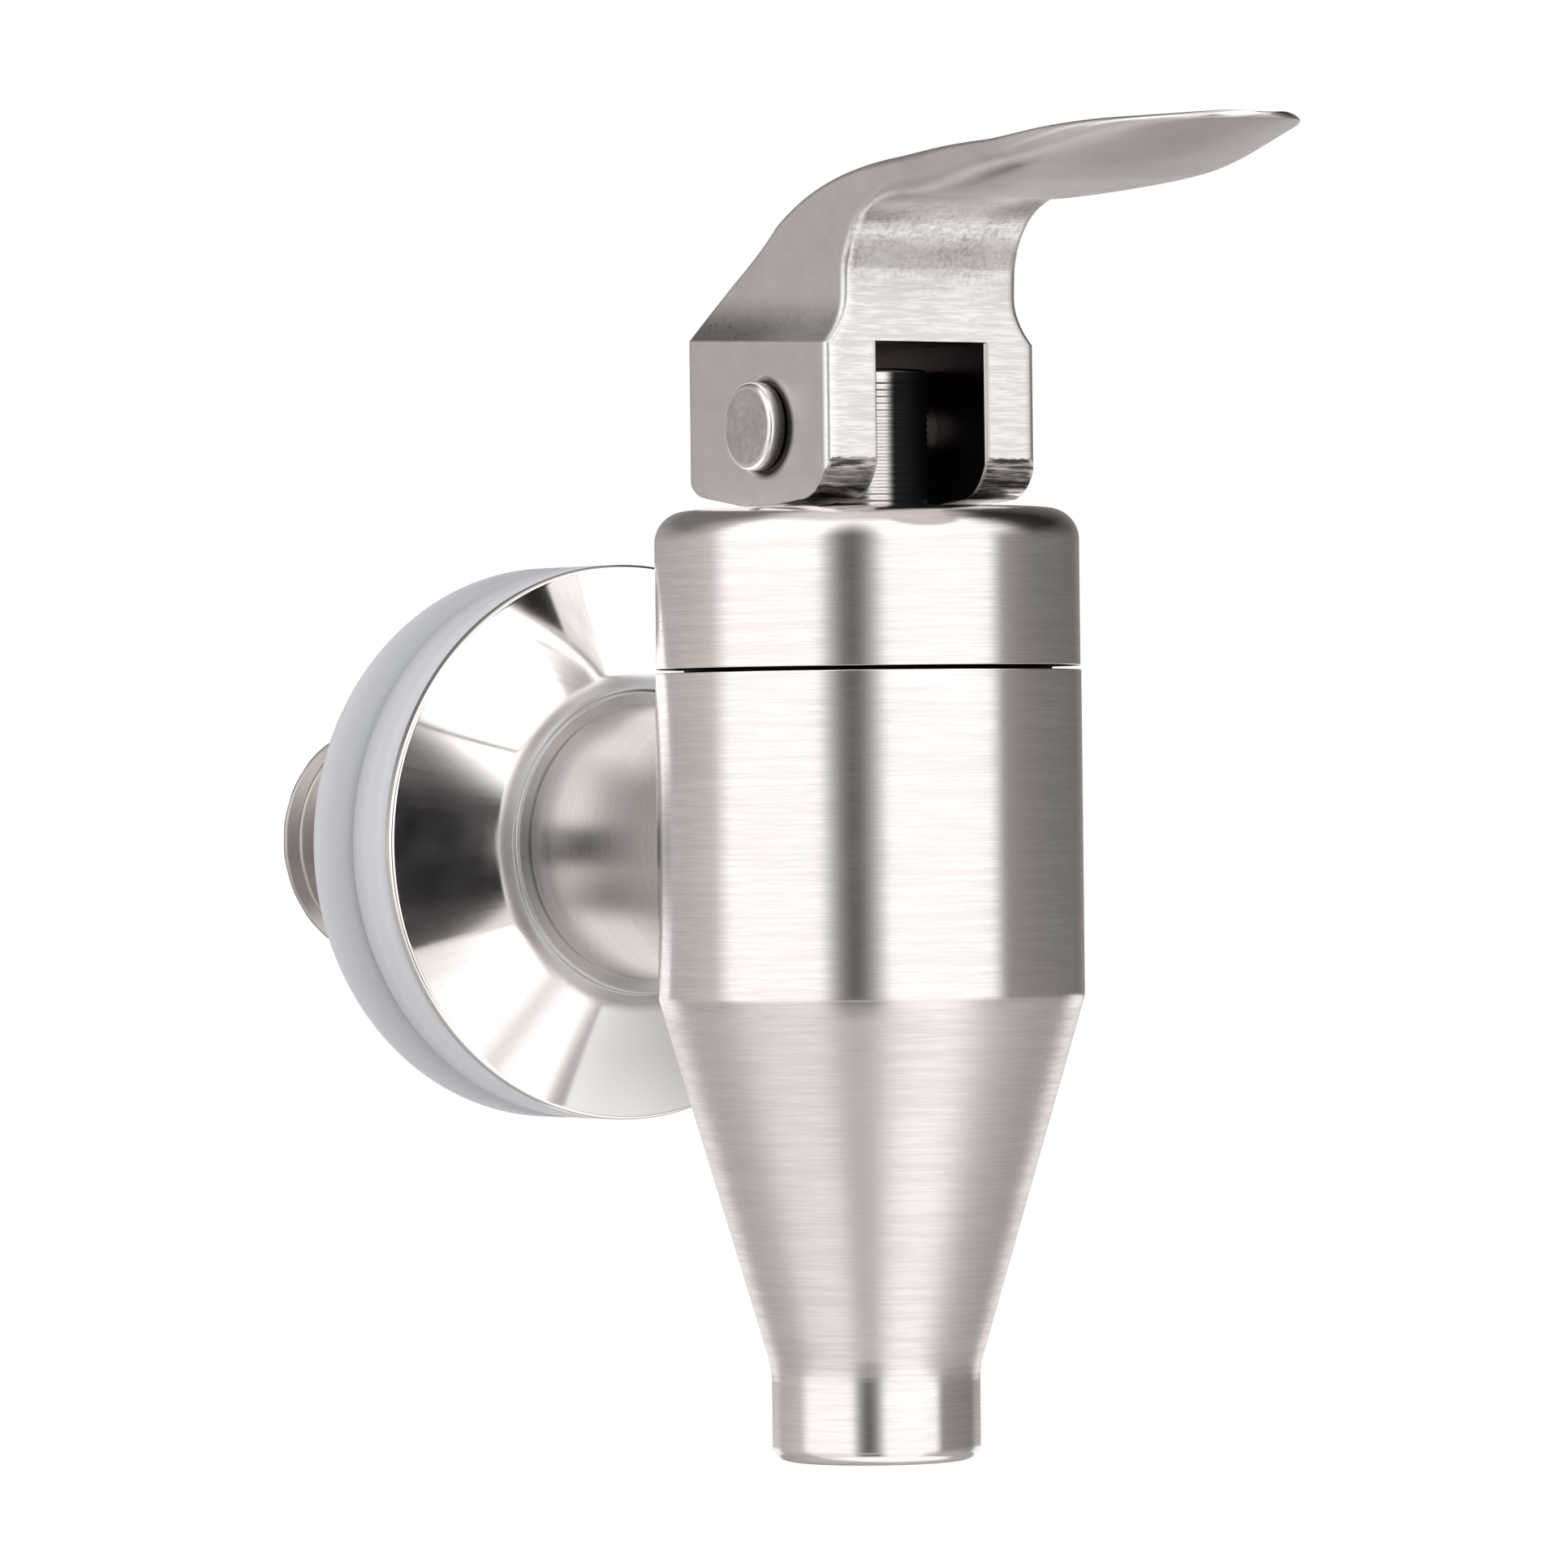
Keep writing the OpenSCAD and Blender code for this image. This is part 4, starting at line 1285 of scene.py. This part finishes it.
@dataclass
class ThumbLever:
    """The cast lever: two flat ears round the stem, a hollow-shouldered neck and a dished paddle.

    All places are counted from the pivot, y to the rear and z up.
    """

    ear_w: float = 15.7
    ear_front: float = 7.5
    ear_rear: float = 8.5
    ear_bottom: float = -4.95
    ear_edge: float = 0.5
    chamfer_y: float = 2.3
    chamfer_z: float = 2.8
    heel_r: float = 2.0
    crease_h: float = 5.3
    shoulder_h: float = 3.0
    neck_w: float = 13.0
    paddle_w: float = 16.5
    paddle_l: float = 16.6
    reach: float = 43.0
    rise: float = 17.5
    paddle_t: float = 1.6
    dish: float = 0.6
    curl: float = 0.95
    slot_w: float = 8.1
    slot_top: float = 5.05
    pin_r: float = 2.1
    head_r: float = 2.75
    head_h: float = 1.1
    spot_r: float = 3.2
    spot_depth: float = 0.14
    tip: float = 0.9992
    bowl: float = 12.0
    bowl_limit: float = 1.15
    tip_dip: float = 1.1

    def crease(self, y: np.ndarray) -> np.ndarray:
        """Height of the line where the flat ears end: a little higher towards the rear."""
        return self.crease_h + 0.045 * y

    def under(self, t: np.ndarray) -> Points:
        """Front and underside line at stations t from 0 to 3, three cubic curves in a row."""
        f, s = self.ear_front, self.rise
        front = float(self.crease(np.array(-f)))
        a = bezier([(-f, front), (-f, front + 1.4), (-f, s - 9.4), (-f - 0.1, s - 7.9)], t)
        b = bezier([
            (-f - 0.1, s - 7.9), (-f - 0.45, s - 6.2), (-f - 1.8, s - 3.8), (-f - 5.1, s - 3.7),
        ], t - 1)
        c = bezier([
            (-f - 5.1, s - 3.7),
            (-self.reach * 0.56, s - 4.15),
            (-self.reach * 0.77, s - self.paddle_t + 0.53),
            (-self.reach, s - self.paddle_t),
        ], t - 2)
        return np.where((t < 1)[:, None], a, np.where((t < 2)[:, None], b, c))

    def top(self, t: np.ndarray) -> Points:
        """Rear and top line at stations t from 0 to 3, three cubic curves in a row."""
        f, r, s = self.ear_front, self.ear_rear, self.rise
        rear = float(self.crease(np.array(r)))
        a = bezier([(r, rear), (r - 0.1, rear + 2.6), (r - 4.2, s - 8.3), (0.45, s - 5)], t)
        b = bezier([(0.45, s - 5), (-2.9, s - 2.9), (-7, s - 1.75), (-f - 5.2, s - 1.4)], t - 1)
        c = bezier([
            (-f - 5.2, s - 1.4),
            (-self.reach * 0.465, s - 0.9),
            (-self.reach * 0.674, s - 0.87),
            (-self.reach, s - self.tip_dip),
        ], t - 2)
        return np.where((t < 1)[:, None], a, np.where((t < 2)[:, None], b, c))

    def half_width(self, y: np.ndarray, z: np.ndarray) -> np.ndarray:
        """Half width at a place: the neck's, plus a parabola that runs out above the crease, plus the
        paddle's spread, times a half ellipse towards the tip."""
        above = np.clip((z - self.crease(y)) / self.shoulder_h, 0, 1)
        neck = (self.neck_w + (self.ear_w - self.neck_w) * (1 - above) ** 2) / 2
        widest = self.reach - self.paddle_l
        spread = ease(-y, self.ear_front + 5.7, widest)
        nose = np.sqrt(np.maximum(0, 1 - (np.maximum(0, -y - widest) / self.paddle_l) ** 2))
        return (neck + (self.paddle_w - self.neck_w) / 2 * spread) * nose

    @staticmethod
    def outline(flats: int, sides: int, bends: int) -> Points:
        """The section's outline as rows of [side, cos, level, sin]: flats at the bottom and the top,
        upright sides, and quarter circles between them."""
        u = np.linspace(-1, 1, flats + 2)[1:-1]
        v = np.linspace(-1, 1, sides + 2)[1:-1]
        b = np.radians(np.linspace(0, 90, bends + 1))
        one = np.ones_like
        rows = [
            np.stack([u, 0 * u, -one(u), -one(u)], 1),
            np.stack([one(b), np.sin(b), -one(b), -np.cos(b)], 1),
            np.stack([one(v), one(v), v, 0 * v], 1),
            np.stack([one(b), np.cos(b), one(b), np.sin(b)], 1),
            np.stack([-u, 0 * u, one(u), one(u)], 1),
            np.stack([-one(b), -np.sin(b), one(b), np.cos(b)], 1),
            np.stack([-one(v), -one(v), -v, 0 * v], 1),
            np.stack([-one(b), -np.cos(b), -one(b), -np.sin(b)], 1),
        ]
        return np.vstack(rows)

    def blade(self, q: Points) -> tuple[Points, np.ndarray]:
        """Carries the section along the two side lines.

        At each station the section spans from the underside to the top, with its corners rounded,
        and from the neck on the lower ones are softer.
        The paddle's middle sags by dish times (1 - (x/w)^2). Its rim rises by curl times r^2, where r is
        0 on the paddle's middle and 1 along its sides and its tip.

        Args:
            q: the section's outline from outline().

        Returns:
            The points as (stations, len(q), 3), and the stations.
        """
        t = np.concatenate([
            np.linspace(0, 1, 90, endpoint=False) ** 1.4,
            1 + np.linspace(0, 1, 56, endpoint=False),
            2 + self.tip * (1 - (1 - np.linspace(0, 1, 130)) ** 2),
        ])
        low, high = self.under(t), self.top(t)
        mid, span = (low + high) / 2, high - low
        length = np.linalg.norm(span, axis=1)
        aim = span / length[:, None]
        to_tip, rim_r = self.reach + mid[:, 0], self.paddle_t / 2
        taper = np.sqrt(np.clip(1 - (np.maximum(0, rim_r - to_tip) / rim_r) ** 2, 0.02, 1))
        h = length * taper
        full = self.half_width(mid[:, 0], mid[:, 1])
        low_side = q[None, :, 2] + q[None, :, 3] < 0
        soft = np.minimum(np.minimum(h * 0.6, full * 0.9), self.ear_edge + 1.2 * ease(t, 1.75, 2.3))[:, None]
        crisp = np.minimum(np.minimum(h * 0.35, full * 0.9), self.ear_edge + 0.3 * ease(t, 2, 2.6))[:, None]
        corner = np.where(low_side, soft, crisp)
        sag = self.dish * ease(-mid[:, 0], self.ear_front + 8, self.reach * 0.62)
        sag = sag * (2 * full / self.paddle_w) ** 2
        curl = self.curl * ease(-mid[:, 0], self.reach - 17, self.reach - 6)[:, None]
        up_share, half_h = (1 + q[None, :, 2]) / 2, h[:, None] / 2
        level = up_share * (half_h - crisp) - (1 - up_share) * (half_h - soft)
        along = level + q[None, :, 3] * corner
        at = mid[:, None, :] + aim[:, None, :] * along[..., None]
        w = np.where((t > 2)[:, None], full[:, None], self.half_width(at[..., 0], at[..., 1]))
        x = q[None, :, 0] * (w - corner) + q[None, :, 1] * corner
        side = (x / np.maximum(w, 1e-6)) ** 2
        past = np.maximum(0, -at[..., 0] - self.reach + self.bowl) / self.bowl
        rise = curl * np.minimum(np.sqrt((2 * x / self.paddle_w) ** 2 + past ** 2), self.bowl_limit) ** 2
        z = at[..., 1] - sag[:, None] * (1 - side) + rise
        return np.stack([x, at[..., 0], z], -1), t

    def ear_line(self, y: np.ndarray) -> np.ndarray:
        """Height of the ears' lower edge at y: the rounded front chamfer, a bottom that is a little
        lower in its middle, and the heel's arc."""
        b, f = self.ear_bottom, self.ear_front
        front = bezier([
            (-f, b + self.chamfer_z),
            (-f + 0.2 * self.chamfer_y, b + 0.57 * self.chamfer_z),
            (-f + 0.48 * self.chamfer_y, b + 0.25 * self.chamfer_z),
            (-f + self.chamfer_y, b + 0.35),
        ], np.linspace(0, 1, 30))
        a = np.radians(np.linspace(-80, 0, 30))
        heel_y = self.ear_rear - self.heel_r
        heel = np.stack([heel_y + self.heel_r * np.cos(a), b + 0.7 + self.heel_r * (1 + np.sin(a))], 1)
        line = np.vstack([front, [(-2, b + 0.08), (2, b), (heel_y - 0.4, b + 0.6)], heel])
        return np.interp(y, line[:, 0], line[:, 1])

    def skin(self) -> Surface:
        """The whole lever before its slot and hole are cut: ears below the crease, blade above it,
        and a sheet across the ears' bottom. Marks tell the ground front, the polished rim and the hollows,
        where painted shade lies above the crease."""
        flats, sides, bends = 44, 46, 6
        q = self.outline(flats, sides, bends)
        rings, t = self.blade(q)
        first = rings[0]
        base = self.ear_line(first[:, 1])
        s = np.concatenate([[0, 0.012], np.linspace(0.05, 0.97, 16), [0.99]])
        ears = np.repeat(first[None], len(s), 0)
        ears[..., 2] = base + (self.crease(first[:, 1]) - base) * s[:, None]
        rings = np.concatenate([ears, rings])
        stations = np.concatenate([s - 1, t])
        closing = np.repeat(rings[-1:].mean(1, keepdims=True), len(q), 1)
        rings = np.concatenate([rings, closing])
        stations = np.append(stations, 3.0)[:, None]
        y, z = rings[..., 1], rings[..., 2]
        is_front = (q[None, :, 2] < -0.98) & (np.abs(q[None, :, 1]) < 0.95)
        front = np.where(is_front, 1 - ease(stations, 1.5, 2.15), 0.0)
        on_side = np.abs(q[None, :, 1]) > 0.35
        rim_side = on_side * ease(q[None, :, 3], -0.95, -0.35)
        polish = rim_side * ease(-y, self.reach - 14, self.reach - 8.5)
        height = z - self.crease(y)
        # painted shade just above the crease, weaker towards the front
        above_crease = ease(height, -0.02, 0.12) * (1 - ease(height, 0.5, 3.1))
        crease_shade = np.where(np.abs(q[None, :, 1]) > 0.6, above_crease, 0.0)
        crease_shade = crease_shade * (0.5 + 0.5 * ease(y, -5.0, 3.0))
        bend = (np.abs(q[:, 1] * q[:, 3]) > 0.02)[None, :] & (stations < 2)
        marks = {
            "front": front,
            "neck": front * ease(height, 2.2, 5.5),
            "polish": polish,
            "hollow": crease_shade * (stations < 1.4),
            "edge": np.where(bend, 0.6 * (1 - ease(stations, 1.0, 1.7)), 0.0),
        }
        body = Surface.grid(rings, marks, loop_rows=False)
        right = first[flats:flats + 2 * (bends + 1) + sides]
        ys, ws = right[:, 1], right[:, 0]
        u = np.concatenate([[-1], np.linspace(-1, 1, flats + 2)[1:-1], [1]])
        row_y, row_z = (np.repeat(v[:, None], len(u), 1) for v in (ys, self.ear_line(ys)))
        under = np.stack([ws[:, None] * u[None, :], row_y, row_z], -1)
        flat = first[:flats]
        under[0, 1:-1] = np.stack([flat[:, 0], flat[:, 1], self.ear_line(flat[:, 1])], -1)
        under[-1, 1:-1] = under[0, 1:-1] * [1, 0, 0] + [0, ys[-1], self.ear_line(ys[-1:])[0]]
        grind = np.where(ys < -3.5, 1.0, 0.5)[:, None]
        sheet = Surface.grid(under, {"front": np.ones((len(ys), 1)), "grind": grind}, False, False)
        whole = body.joined(sheet)
        whole.points[:, 1] += AXIS_Y
        whole.points[:, 2] += PIVOT_Z
        return whole

    def slot(self) -> Surface:
        """The cutter for the stem's slot: a rectangle along Y that widens a little at both mouths."""
        f, r = self.ear_front, self.ear_rear
        y = np.array([-16, -f - 0.1, -f + 0.16, r - 0.16, r + 0.1, 16])
        more = np.array([0.25, 0.25, 0, 0, 0.25, 0.25])
        w, top = self.slot_w / 2 + more, self.slot_top + more * 0.4
        low = np.full_like(y, -9.0)
        rows = np.stack([
            np.stack([-w, y, low], -1),
            np.stack([w, y, low], -1),
            np.stack([w, y, top], -1),
            np.stack([-w, y, top], -1),
        ], 1)
        first, last = (np.repeat(end.mean(1, keepdims=True), 4, 1) for end in (rows[:1], rows[-1:]))
        grid = np.concatenate([first, rows, last])
        grid[..., 1] += AXIS_Y
        grid[..., 2] += PIVOT_Z
        return Surface.grid(grid, loop_rows=False)

    def in_slot(self, centre: Points, normal: Points) -> np.ndarray:
        """Tells which faces line the slot: its two walls, which face each other, and its roof, which
        faces down. These faces get painted shade."""
        x, y, z = centre[:, 0], centre[:, 1] - AXIS_Y, centre[:, 2] - PIVOT_Z
        wall = (np.abs(x) < self.slot_w / 2 + 0.12) & (np.abs(normal[:, 0]) > 0.5)
        roof = (np.abs(x) < self.slot_w / 2) & (normal[:, 2] < -0.5) & (z > self.slot_top - 0.5)
        inside = (y > -self.ear_front - 0.2) & (y < self.ear_rear + 0.2) & (z < self.slot_top + 0.5)
        return ((wall | roof) & inside).astype(float)

    def pin_hole(self) -> Surface:
        """The cutter for the pin's hole, with a shallow spot face at each ear."""
        half, spot, bore = self.ear_w / 2, self.spot_r, self.pin_r + 0.02
        outline = np.array([
            (0, -10),
            (spot, -10),
            (spot, -half + 0.05),
            (spot - 0.1, -half + self.spot_depth),
            (bore, -half + self.spot_depth),
            (bore, half - self.spot_depth),
            (spot - 0.1, half - self.spot_depth),
            (spot, half - 0.05),
            (spot, 10),
            (0, 10),
        ])
        return Surface.grid(turned(outline, Axis.PIN, 128))

    def pin(self) -> Surface:
        """The pivot pin with its bevelled head on the left."""
        half, r, head = self.ear_w / 2, self.pin_r, self.head_r
        outline, edge = rounded_profile([
            (0, half + self.head_h / 2, 0),
            (r, half + self.head_h / 2, 0.25),
            (r, -half + 0.05, 0.0),
            (head, -half + 0.05, 0.1),
            (head, -half - self.head_h, 0.34),
            (0, -half - self.head_h, 0),
        ], turn=9.0)
        return Surface.grid(turned(outline, Axis.PIN, 160), {"edge": edge[:, None]})

    def build(self, bench: Bench) -> None:
        """Builds and dresses the lever and its pin."""
        lever = self.skin().piece("thumb_lever_cast", 21)
        cut(lever, [self.slot(), self.pin_hole()], 21)
        # the faces that line the slot get painted shade
        mark_faces(lever.data, "painted_shade", self.in_slot)
        bench.dress(lever, LEVER_STEEL, "lever", "lever")
        bench.dress(self.pin().piece("pivot_pin_faced"), PIN_STEEL, "lever", "pivot_pin")


# Studio


@dataclass
class Tent:
    """What gloss sees round the spigot: a tent of pale walls with a dark gap in front, darker cloth
    to the right and a pale grey floor.

    turn is a ray's heading from 0 to 1, for -180 to 180 degrees with 0 towards the camera, and z is
    its upward part.
    """

    n: Nodes
    turn: Socket
    z: Socket
    gap_heading: float = -9.0
    gap_half: float = 18.5
    gap_height: float = 0.95

    def by_heading(self, *stops: Triple) -> Socket:
        """Gives a colour by the ray's heading, from stops of (degrees, brightness, warmth)."""
        return self.n.ramp(self.turn, [
            ((d + 180) / 360, (b, b * (1 - 0.06 * w), b * (1 - 0.09 * w))) for d, b, w in stops
        ])

    def band(self, low: float, high: float, soft: float) -> Socket:
        """Gives 1 for rays whose upward part lies between low and high, with soft sides."""
        n = self.n
        over = n.maths("DIVIDE", n.minus(self.z, low), soft, clamp=True)
        beneath = n.maths("DIVIDE", n.minus(high, self.z), soft, clamp=True)
        return n.times(over, beneath)

    def walls(self) -> Socket:
        """Gives the walls from one ramp for the level, one for above and one for below it."""
        n = self.n
        level = self.by_heading(
            (-180, 0.26, 1), (-165, 0.38, 1), (-115, 0.45, 1), (-93, 0.52, 1), (-82, 1.0, 0.3),
            (68, 1.0, 0), (77, 0.22, 1), (150, 0.14, 1), (170, 0.26, 1), (180, 0.26, 1),
        )
        above = self.by_heading(
            (-180, 0.14, 1), (-125, 0.16, 1), (-98, 0.42, 1), (-84, 1.1, 0), (72, 1.05, 0),
            (84, 0.6, 0.5), (94, 0.2, 1), (104, 0.02, 1), (135, 0.01, 1), (160, 0.08, 1),
            (180, 0.14, 1),
        )
        below = self.by_heading(
            (-180, 0.28, 1), (-140, 0.34, 1), (-90, 0.40, 1), (-75, 0.68, 0.6), (-30, 0.75, 0.6),
            (-18, 0.18, 1), (2, 0.18, 1), (13, 0.9, 0.4), (52, 0.94, 0.4), (64, 0.6, 0.8),
            (80, 0.40, 1), (180, 0.32, 1),
        )
        up = n.times(self.z, 2.6, clamp=True)
        down = n.times(self.z, -2.4, clamp=True)
        return n.mixed(down, n.mixed(up, level, above), below)

    def gap(self) -> Socket:
        """Gives the dark gap in front: 1 less the square of the distance from its middle, counted
        sideways in its half width and upwards in its height."""
        n = self.n
        across = n.times(n.minus(self.turn, 0.5 + self.gap_heading / 360), 360 / self.gap_half)
        rise = n.maths("MAXIMUM", n.maths("DIVIDE", self.z, self.gap_height), 0.0)
        return n.minus(1.0, n.plus(n.times(across, across), n.times(rise, rise)), clamp=True)

    def seen_once(self, behind: Socket) -> Socket:
        """Gives the tent as the first mirror shows it: the walls, the dark gap, a pale band behind,
        the table and a grey spot overhead.

        Args:
            behind: 1 for rays that go away from the camera.

        Returns:
            The colour.
        """
        n = self.n
        tent = n.mixed(n.times(self.gap(), self.band(-0.3, 1.5, 0.12)), self.walls(), (0.09, 0.083, 0.08))
        tent = n.mixed(n.times(behind, self.band(-0.34, -0.05, 0.05)), tent, (0.85, 0.83, 0.82))
        table = self.by_heading((-75, 0.12, 0), (-45, 1, 0), (115, 1, 0), (140, 0.12, 0))
        tent = n.mixed(n.times(table, self.band(-1.5, -0.62, 0.12)), tent, (0.95, 0.93, 0.92))
        return n.mixed(n.climb(self.z, 0.84, 10.0), tent, (0.62, 0.59, 0.58))

    def seen_twice(self, tent: Socket, behind: Socket) -> Socket:
        """Gives the tent as a second mirror shows it: brighter at the left, on the ground and behind,
        with dark patches overhead, beneath and in front.

        Args:
            tent: the colour from seen_once().
            behind: 1 for rays that go away from the camera.

        Returns:
            The colour.
        """
        n = self.n
        left = self.by_heading(
            (-180, 1, 0), (-62, 1, 0), (-56, 0.8, 0), (-50, 0, 0), (140, 0, 0), (160, 1, 0),
        )
        ground = self.by_heading((-125, 0, 0), (-110, 1, 0), (-45, 1, 0), (-30, 0, 0))
        glare = n.times(left, self.band(0.1, 1.5, 0.08))
        glare = n.maths("MAXIMUM", glare, n.times(ground, self.band(-1.5, -0.5, 0.1)))
        tent = n.mixed(n.maths("MAXIMUM", glare, behind), tent, (1.5, 1.48, 1.47))
        over = self.by_heading((-158, 1, 0), (-148, 0, 0), (155, 0, 0), (165, 1, 0))
        over = n.times(over, self.band(0.39, 0.55, 0.03))
        beneath = self.by_heading((-180, 0, 0), (-170, 1, 0), (-138, 1, 0), (-126, 0, 0))
        beneath = n.times(beneath, self.band(-0.88, -0.8, 0.02))
        tent = n.mixed(n.maths("MAXIMUM", over, beneath), tent, (0.06, 0.05, 0.045))
        wide = self.by_heading((-60, 0, 0), (-50, 1, 0), (-2, 1, 0), (6, 0, 0))
        wide = n.times(wide, self.band(-0.25, 0.19, 0.05))
        left_out = n.times(self.by_heading((-34, 1, 0), (-27, 0, 0)), self.band(-0.05, 0.05, 0.03))
        return n.mixed(n.times(wide, n.minus(1.0, left_out)), tent, (0.0, 0.0, 0.0))


@dataclass
class Studio:
    """Camera, light and floor."""

    place: Triple = (-347.36, -554.32, 3.68)
    heading: float = math.radians(-33.24)
    roll: float = math.radians(0.649)
    lens: float = 228.45
    floor_z: float = -300.0
    floor_steps: int = 64
    gloss_strength: float = 1.22
    matte_strength: float = 0.8

    def camera(self) -> None:
        """Makes the camera, level and turned by the heading, with a small roll."""
        right = np.array([math.cos(self.heading), math.sin(self.heading), 0])
        back = np.array([math.sin(self.heading), -math.cos(self.heading), 0])
        up = np.array([0, 0, 1.0])
        c, s = math.cos(self.roll), math.sin(self.roll)
        x, y = right * c - up * s, right * s + up * c
        data = bpy.data.cameras.new("camera")
        data.lens, data.sensor_width = self.lens, 36.0
        data.clip_start, data.clip_end = 0.05, 60.0
        cam = bpy.data.objects.new("camera", data)
        matrix = np.eye(4)
        matrix[:3, :4] = np.stack([x, y, back, np.array(self.place) * MM], 1)
        cam.matrix_world = Matrix(matrix.tolist())
        bpy.context.scene.collection.objects.link(cam)
        bpy.context.scene.camera = cam

    def world(self) -> None:
        """Makes the surroundings: white to the eye and to matte surfaces, and the tent for gloss.

        A ray that has met more than two surfaces sees the tent as a second mirror shows it.
        """
        world = bpy.data.worlds.new("tent")
        bpy.context.scene.world = world
        world.use_nodes = True
        world.node_tree.nodes.clear()
        n = Nodes(world.node_tree)
        split = n.add("ShaderNodeSeparateXYZ")
        n.link(n.add("ShaderNodeTexCoord").outputs["Generated"], split.inputs[0])
        x, y, z = split.outputs
        ch, sh = math.cos(self.heading), math.sin(self.heading)
        to_right = n.plus(n.times(x, ch), n.times(y, sh))
        to_lens = n.plus(n.times(x, sh), n.times(y, -ch))
        turn = n.plus(n.maths("DIVIDE", n.maths("ARCTAN2", to_right, to_lens), 2 * math.pi), 0.5)
        tent = Tent(n, turn, z)
        path = n.add("ShaderNodeLightPath")
        behind = tent.by_heading((-145, 1, 0), (-130, 0, 0), (130, 0, 0), (145, 1, 0))
        once = tent.seen_once(behind)
        second = n.maths("GREATER_THAN", path.outputs["Ray Depth"], 2.5)
        gloss = n.sky(n.mixed(second, once, tent.seen_twice(once, behind)), self.gloss_strength)
        plain = n.sky((1.0, 1.0, 1.0), self.matte_strength)
        lit = n.either(path.outputs["Is Glossy Ray"], plain, gloss)
        seen = n.maths("MAXIMUM", path.outputs["Is Camera Ray"], path.outputs["Is Transmission Ray"])
        shown = n.either(seen, lit, n.sky((1.0, 1.0, 1.0), 1.0))
        n.link(shown, n.add("ShaderNodeOutputWorld").inputs["Surface"])

    def lamp(self, name: str, place: Triple, size: float, power: float) -> None:
        """Makes a soft square lamp that aims at the spigot and doesn't show in gloss.

        Args:
            name: the lamp's name.
            place: where it hangs, in metres.
            size: its side, in metres.
            power: its power in watts.
        """
        data = bpy.data.lights.new(name, "AREA")
        data.size, data.energy = size, power
        lamp = bpy.data.objects.new(name, data)
        back = np.array(place) - np.array([0, -0.02, 0])
        back /= np.linalg.norm(back)
        side = np.cross([0, 0, 1], back)
        side /= np.linalg.norm(side)
        matrix = np.eye(4)
        matrix[:3, :4] = np.stack([side, np.cross(back, side), back, place], 1)
        lamp.matrix_world = Matrix(matrix.tolist())
        lamp.visible_glossy = False
        bpy.context.scene.collection.objects.link(lamp)

    def floor(self) -> None:
        """Makes the pale floor under the spigot: a round sheet that takes its shadow, and turns plain
        white away from it."""
        ring = np.array([0.0, 300.0, 700.0, 1500.0, 4000.0, 12000.0, 40000.0])
        a = np.linspace(0, 2 * np.pi, self.floor_steps, endpoint=False)
        x, y = ring[:, None] * np.cos(a), ring[:, None] * np.sin(a)
        points = np.stack([x, y, np.full_like(x, self.floor_z)], -1)
        floor = Surface.grid(points, loop_rows=False).piece("floor")
        if floor.data.polygons[0].normal.z < 0:
            floor.data.flip_normals()
        mat, n = blank_material("pale_floor")
        place = n.add("ShaderNodeTexCoord").outputs["Object"]
        far = n.add("ShaderNodeVectorMath", operation="LENGTH")
        n.link(place, far.inputs[0])
        fade = n.maths("DIVIDE", n.minus(far.outputs["Value"], 0.5), 1.0, clamp=True)
        matte = n.add("ShaderNodeBsdfDiffuse")
        cloud = n.noise(place, 40.0, 3.0, 0.5)
        n.link(n.mixed(cloud, (0.93, 0.93, 0.93), (0.95, 0.95, 0.95)), matte.inputs["Color"])
        glow = n.add("ShaderNodeEmission")
        glow.inputs["Color"].default_value = (1.0, 1.0, 1.0, 1.0)
        sheet = n.either(fade, matte.outputs[0], glow.outputs[0])
        n.link(sheet, n.add("ShaderNodeOutputMaterial").inputs["Surface"])
        floor.data.materials.append(mat)
        floor.visible_glossy = False

    def build(self) -> None:
        """Builds the whole studio and sets the plain colour view."""
        self.camera()
        self.world()
        self.lamp("key", (-0.55, -0.45, 0.75), 0.6, 3.2)
        self.lamp("fill", (0.7, -0.6, 0.35), 0.7, 1.4)
        self.floor()
        bpy.context.scene.view_settings.view_transform = "Standard"


def main() -> None:
    """Loads the frame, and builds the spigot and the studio."""
    logging.basicConfig(level=logging.INFO, format="%(message)s")
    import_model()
    bench = Bench(GroupShelf(), {})
    Studio().build()
    ValveHousing().build(bench)
    InletLine().build(bench)
    ValveInsides().build(bench)
    ThumbLever().build(bench)


if __name__ == "__main__":
    main()
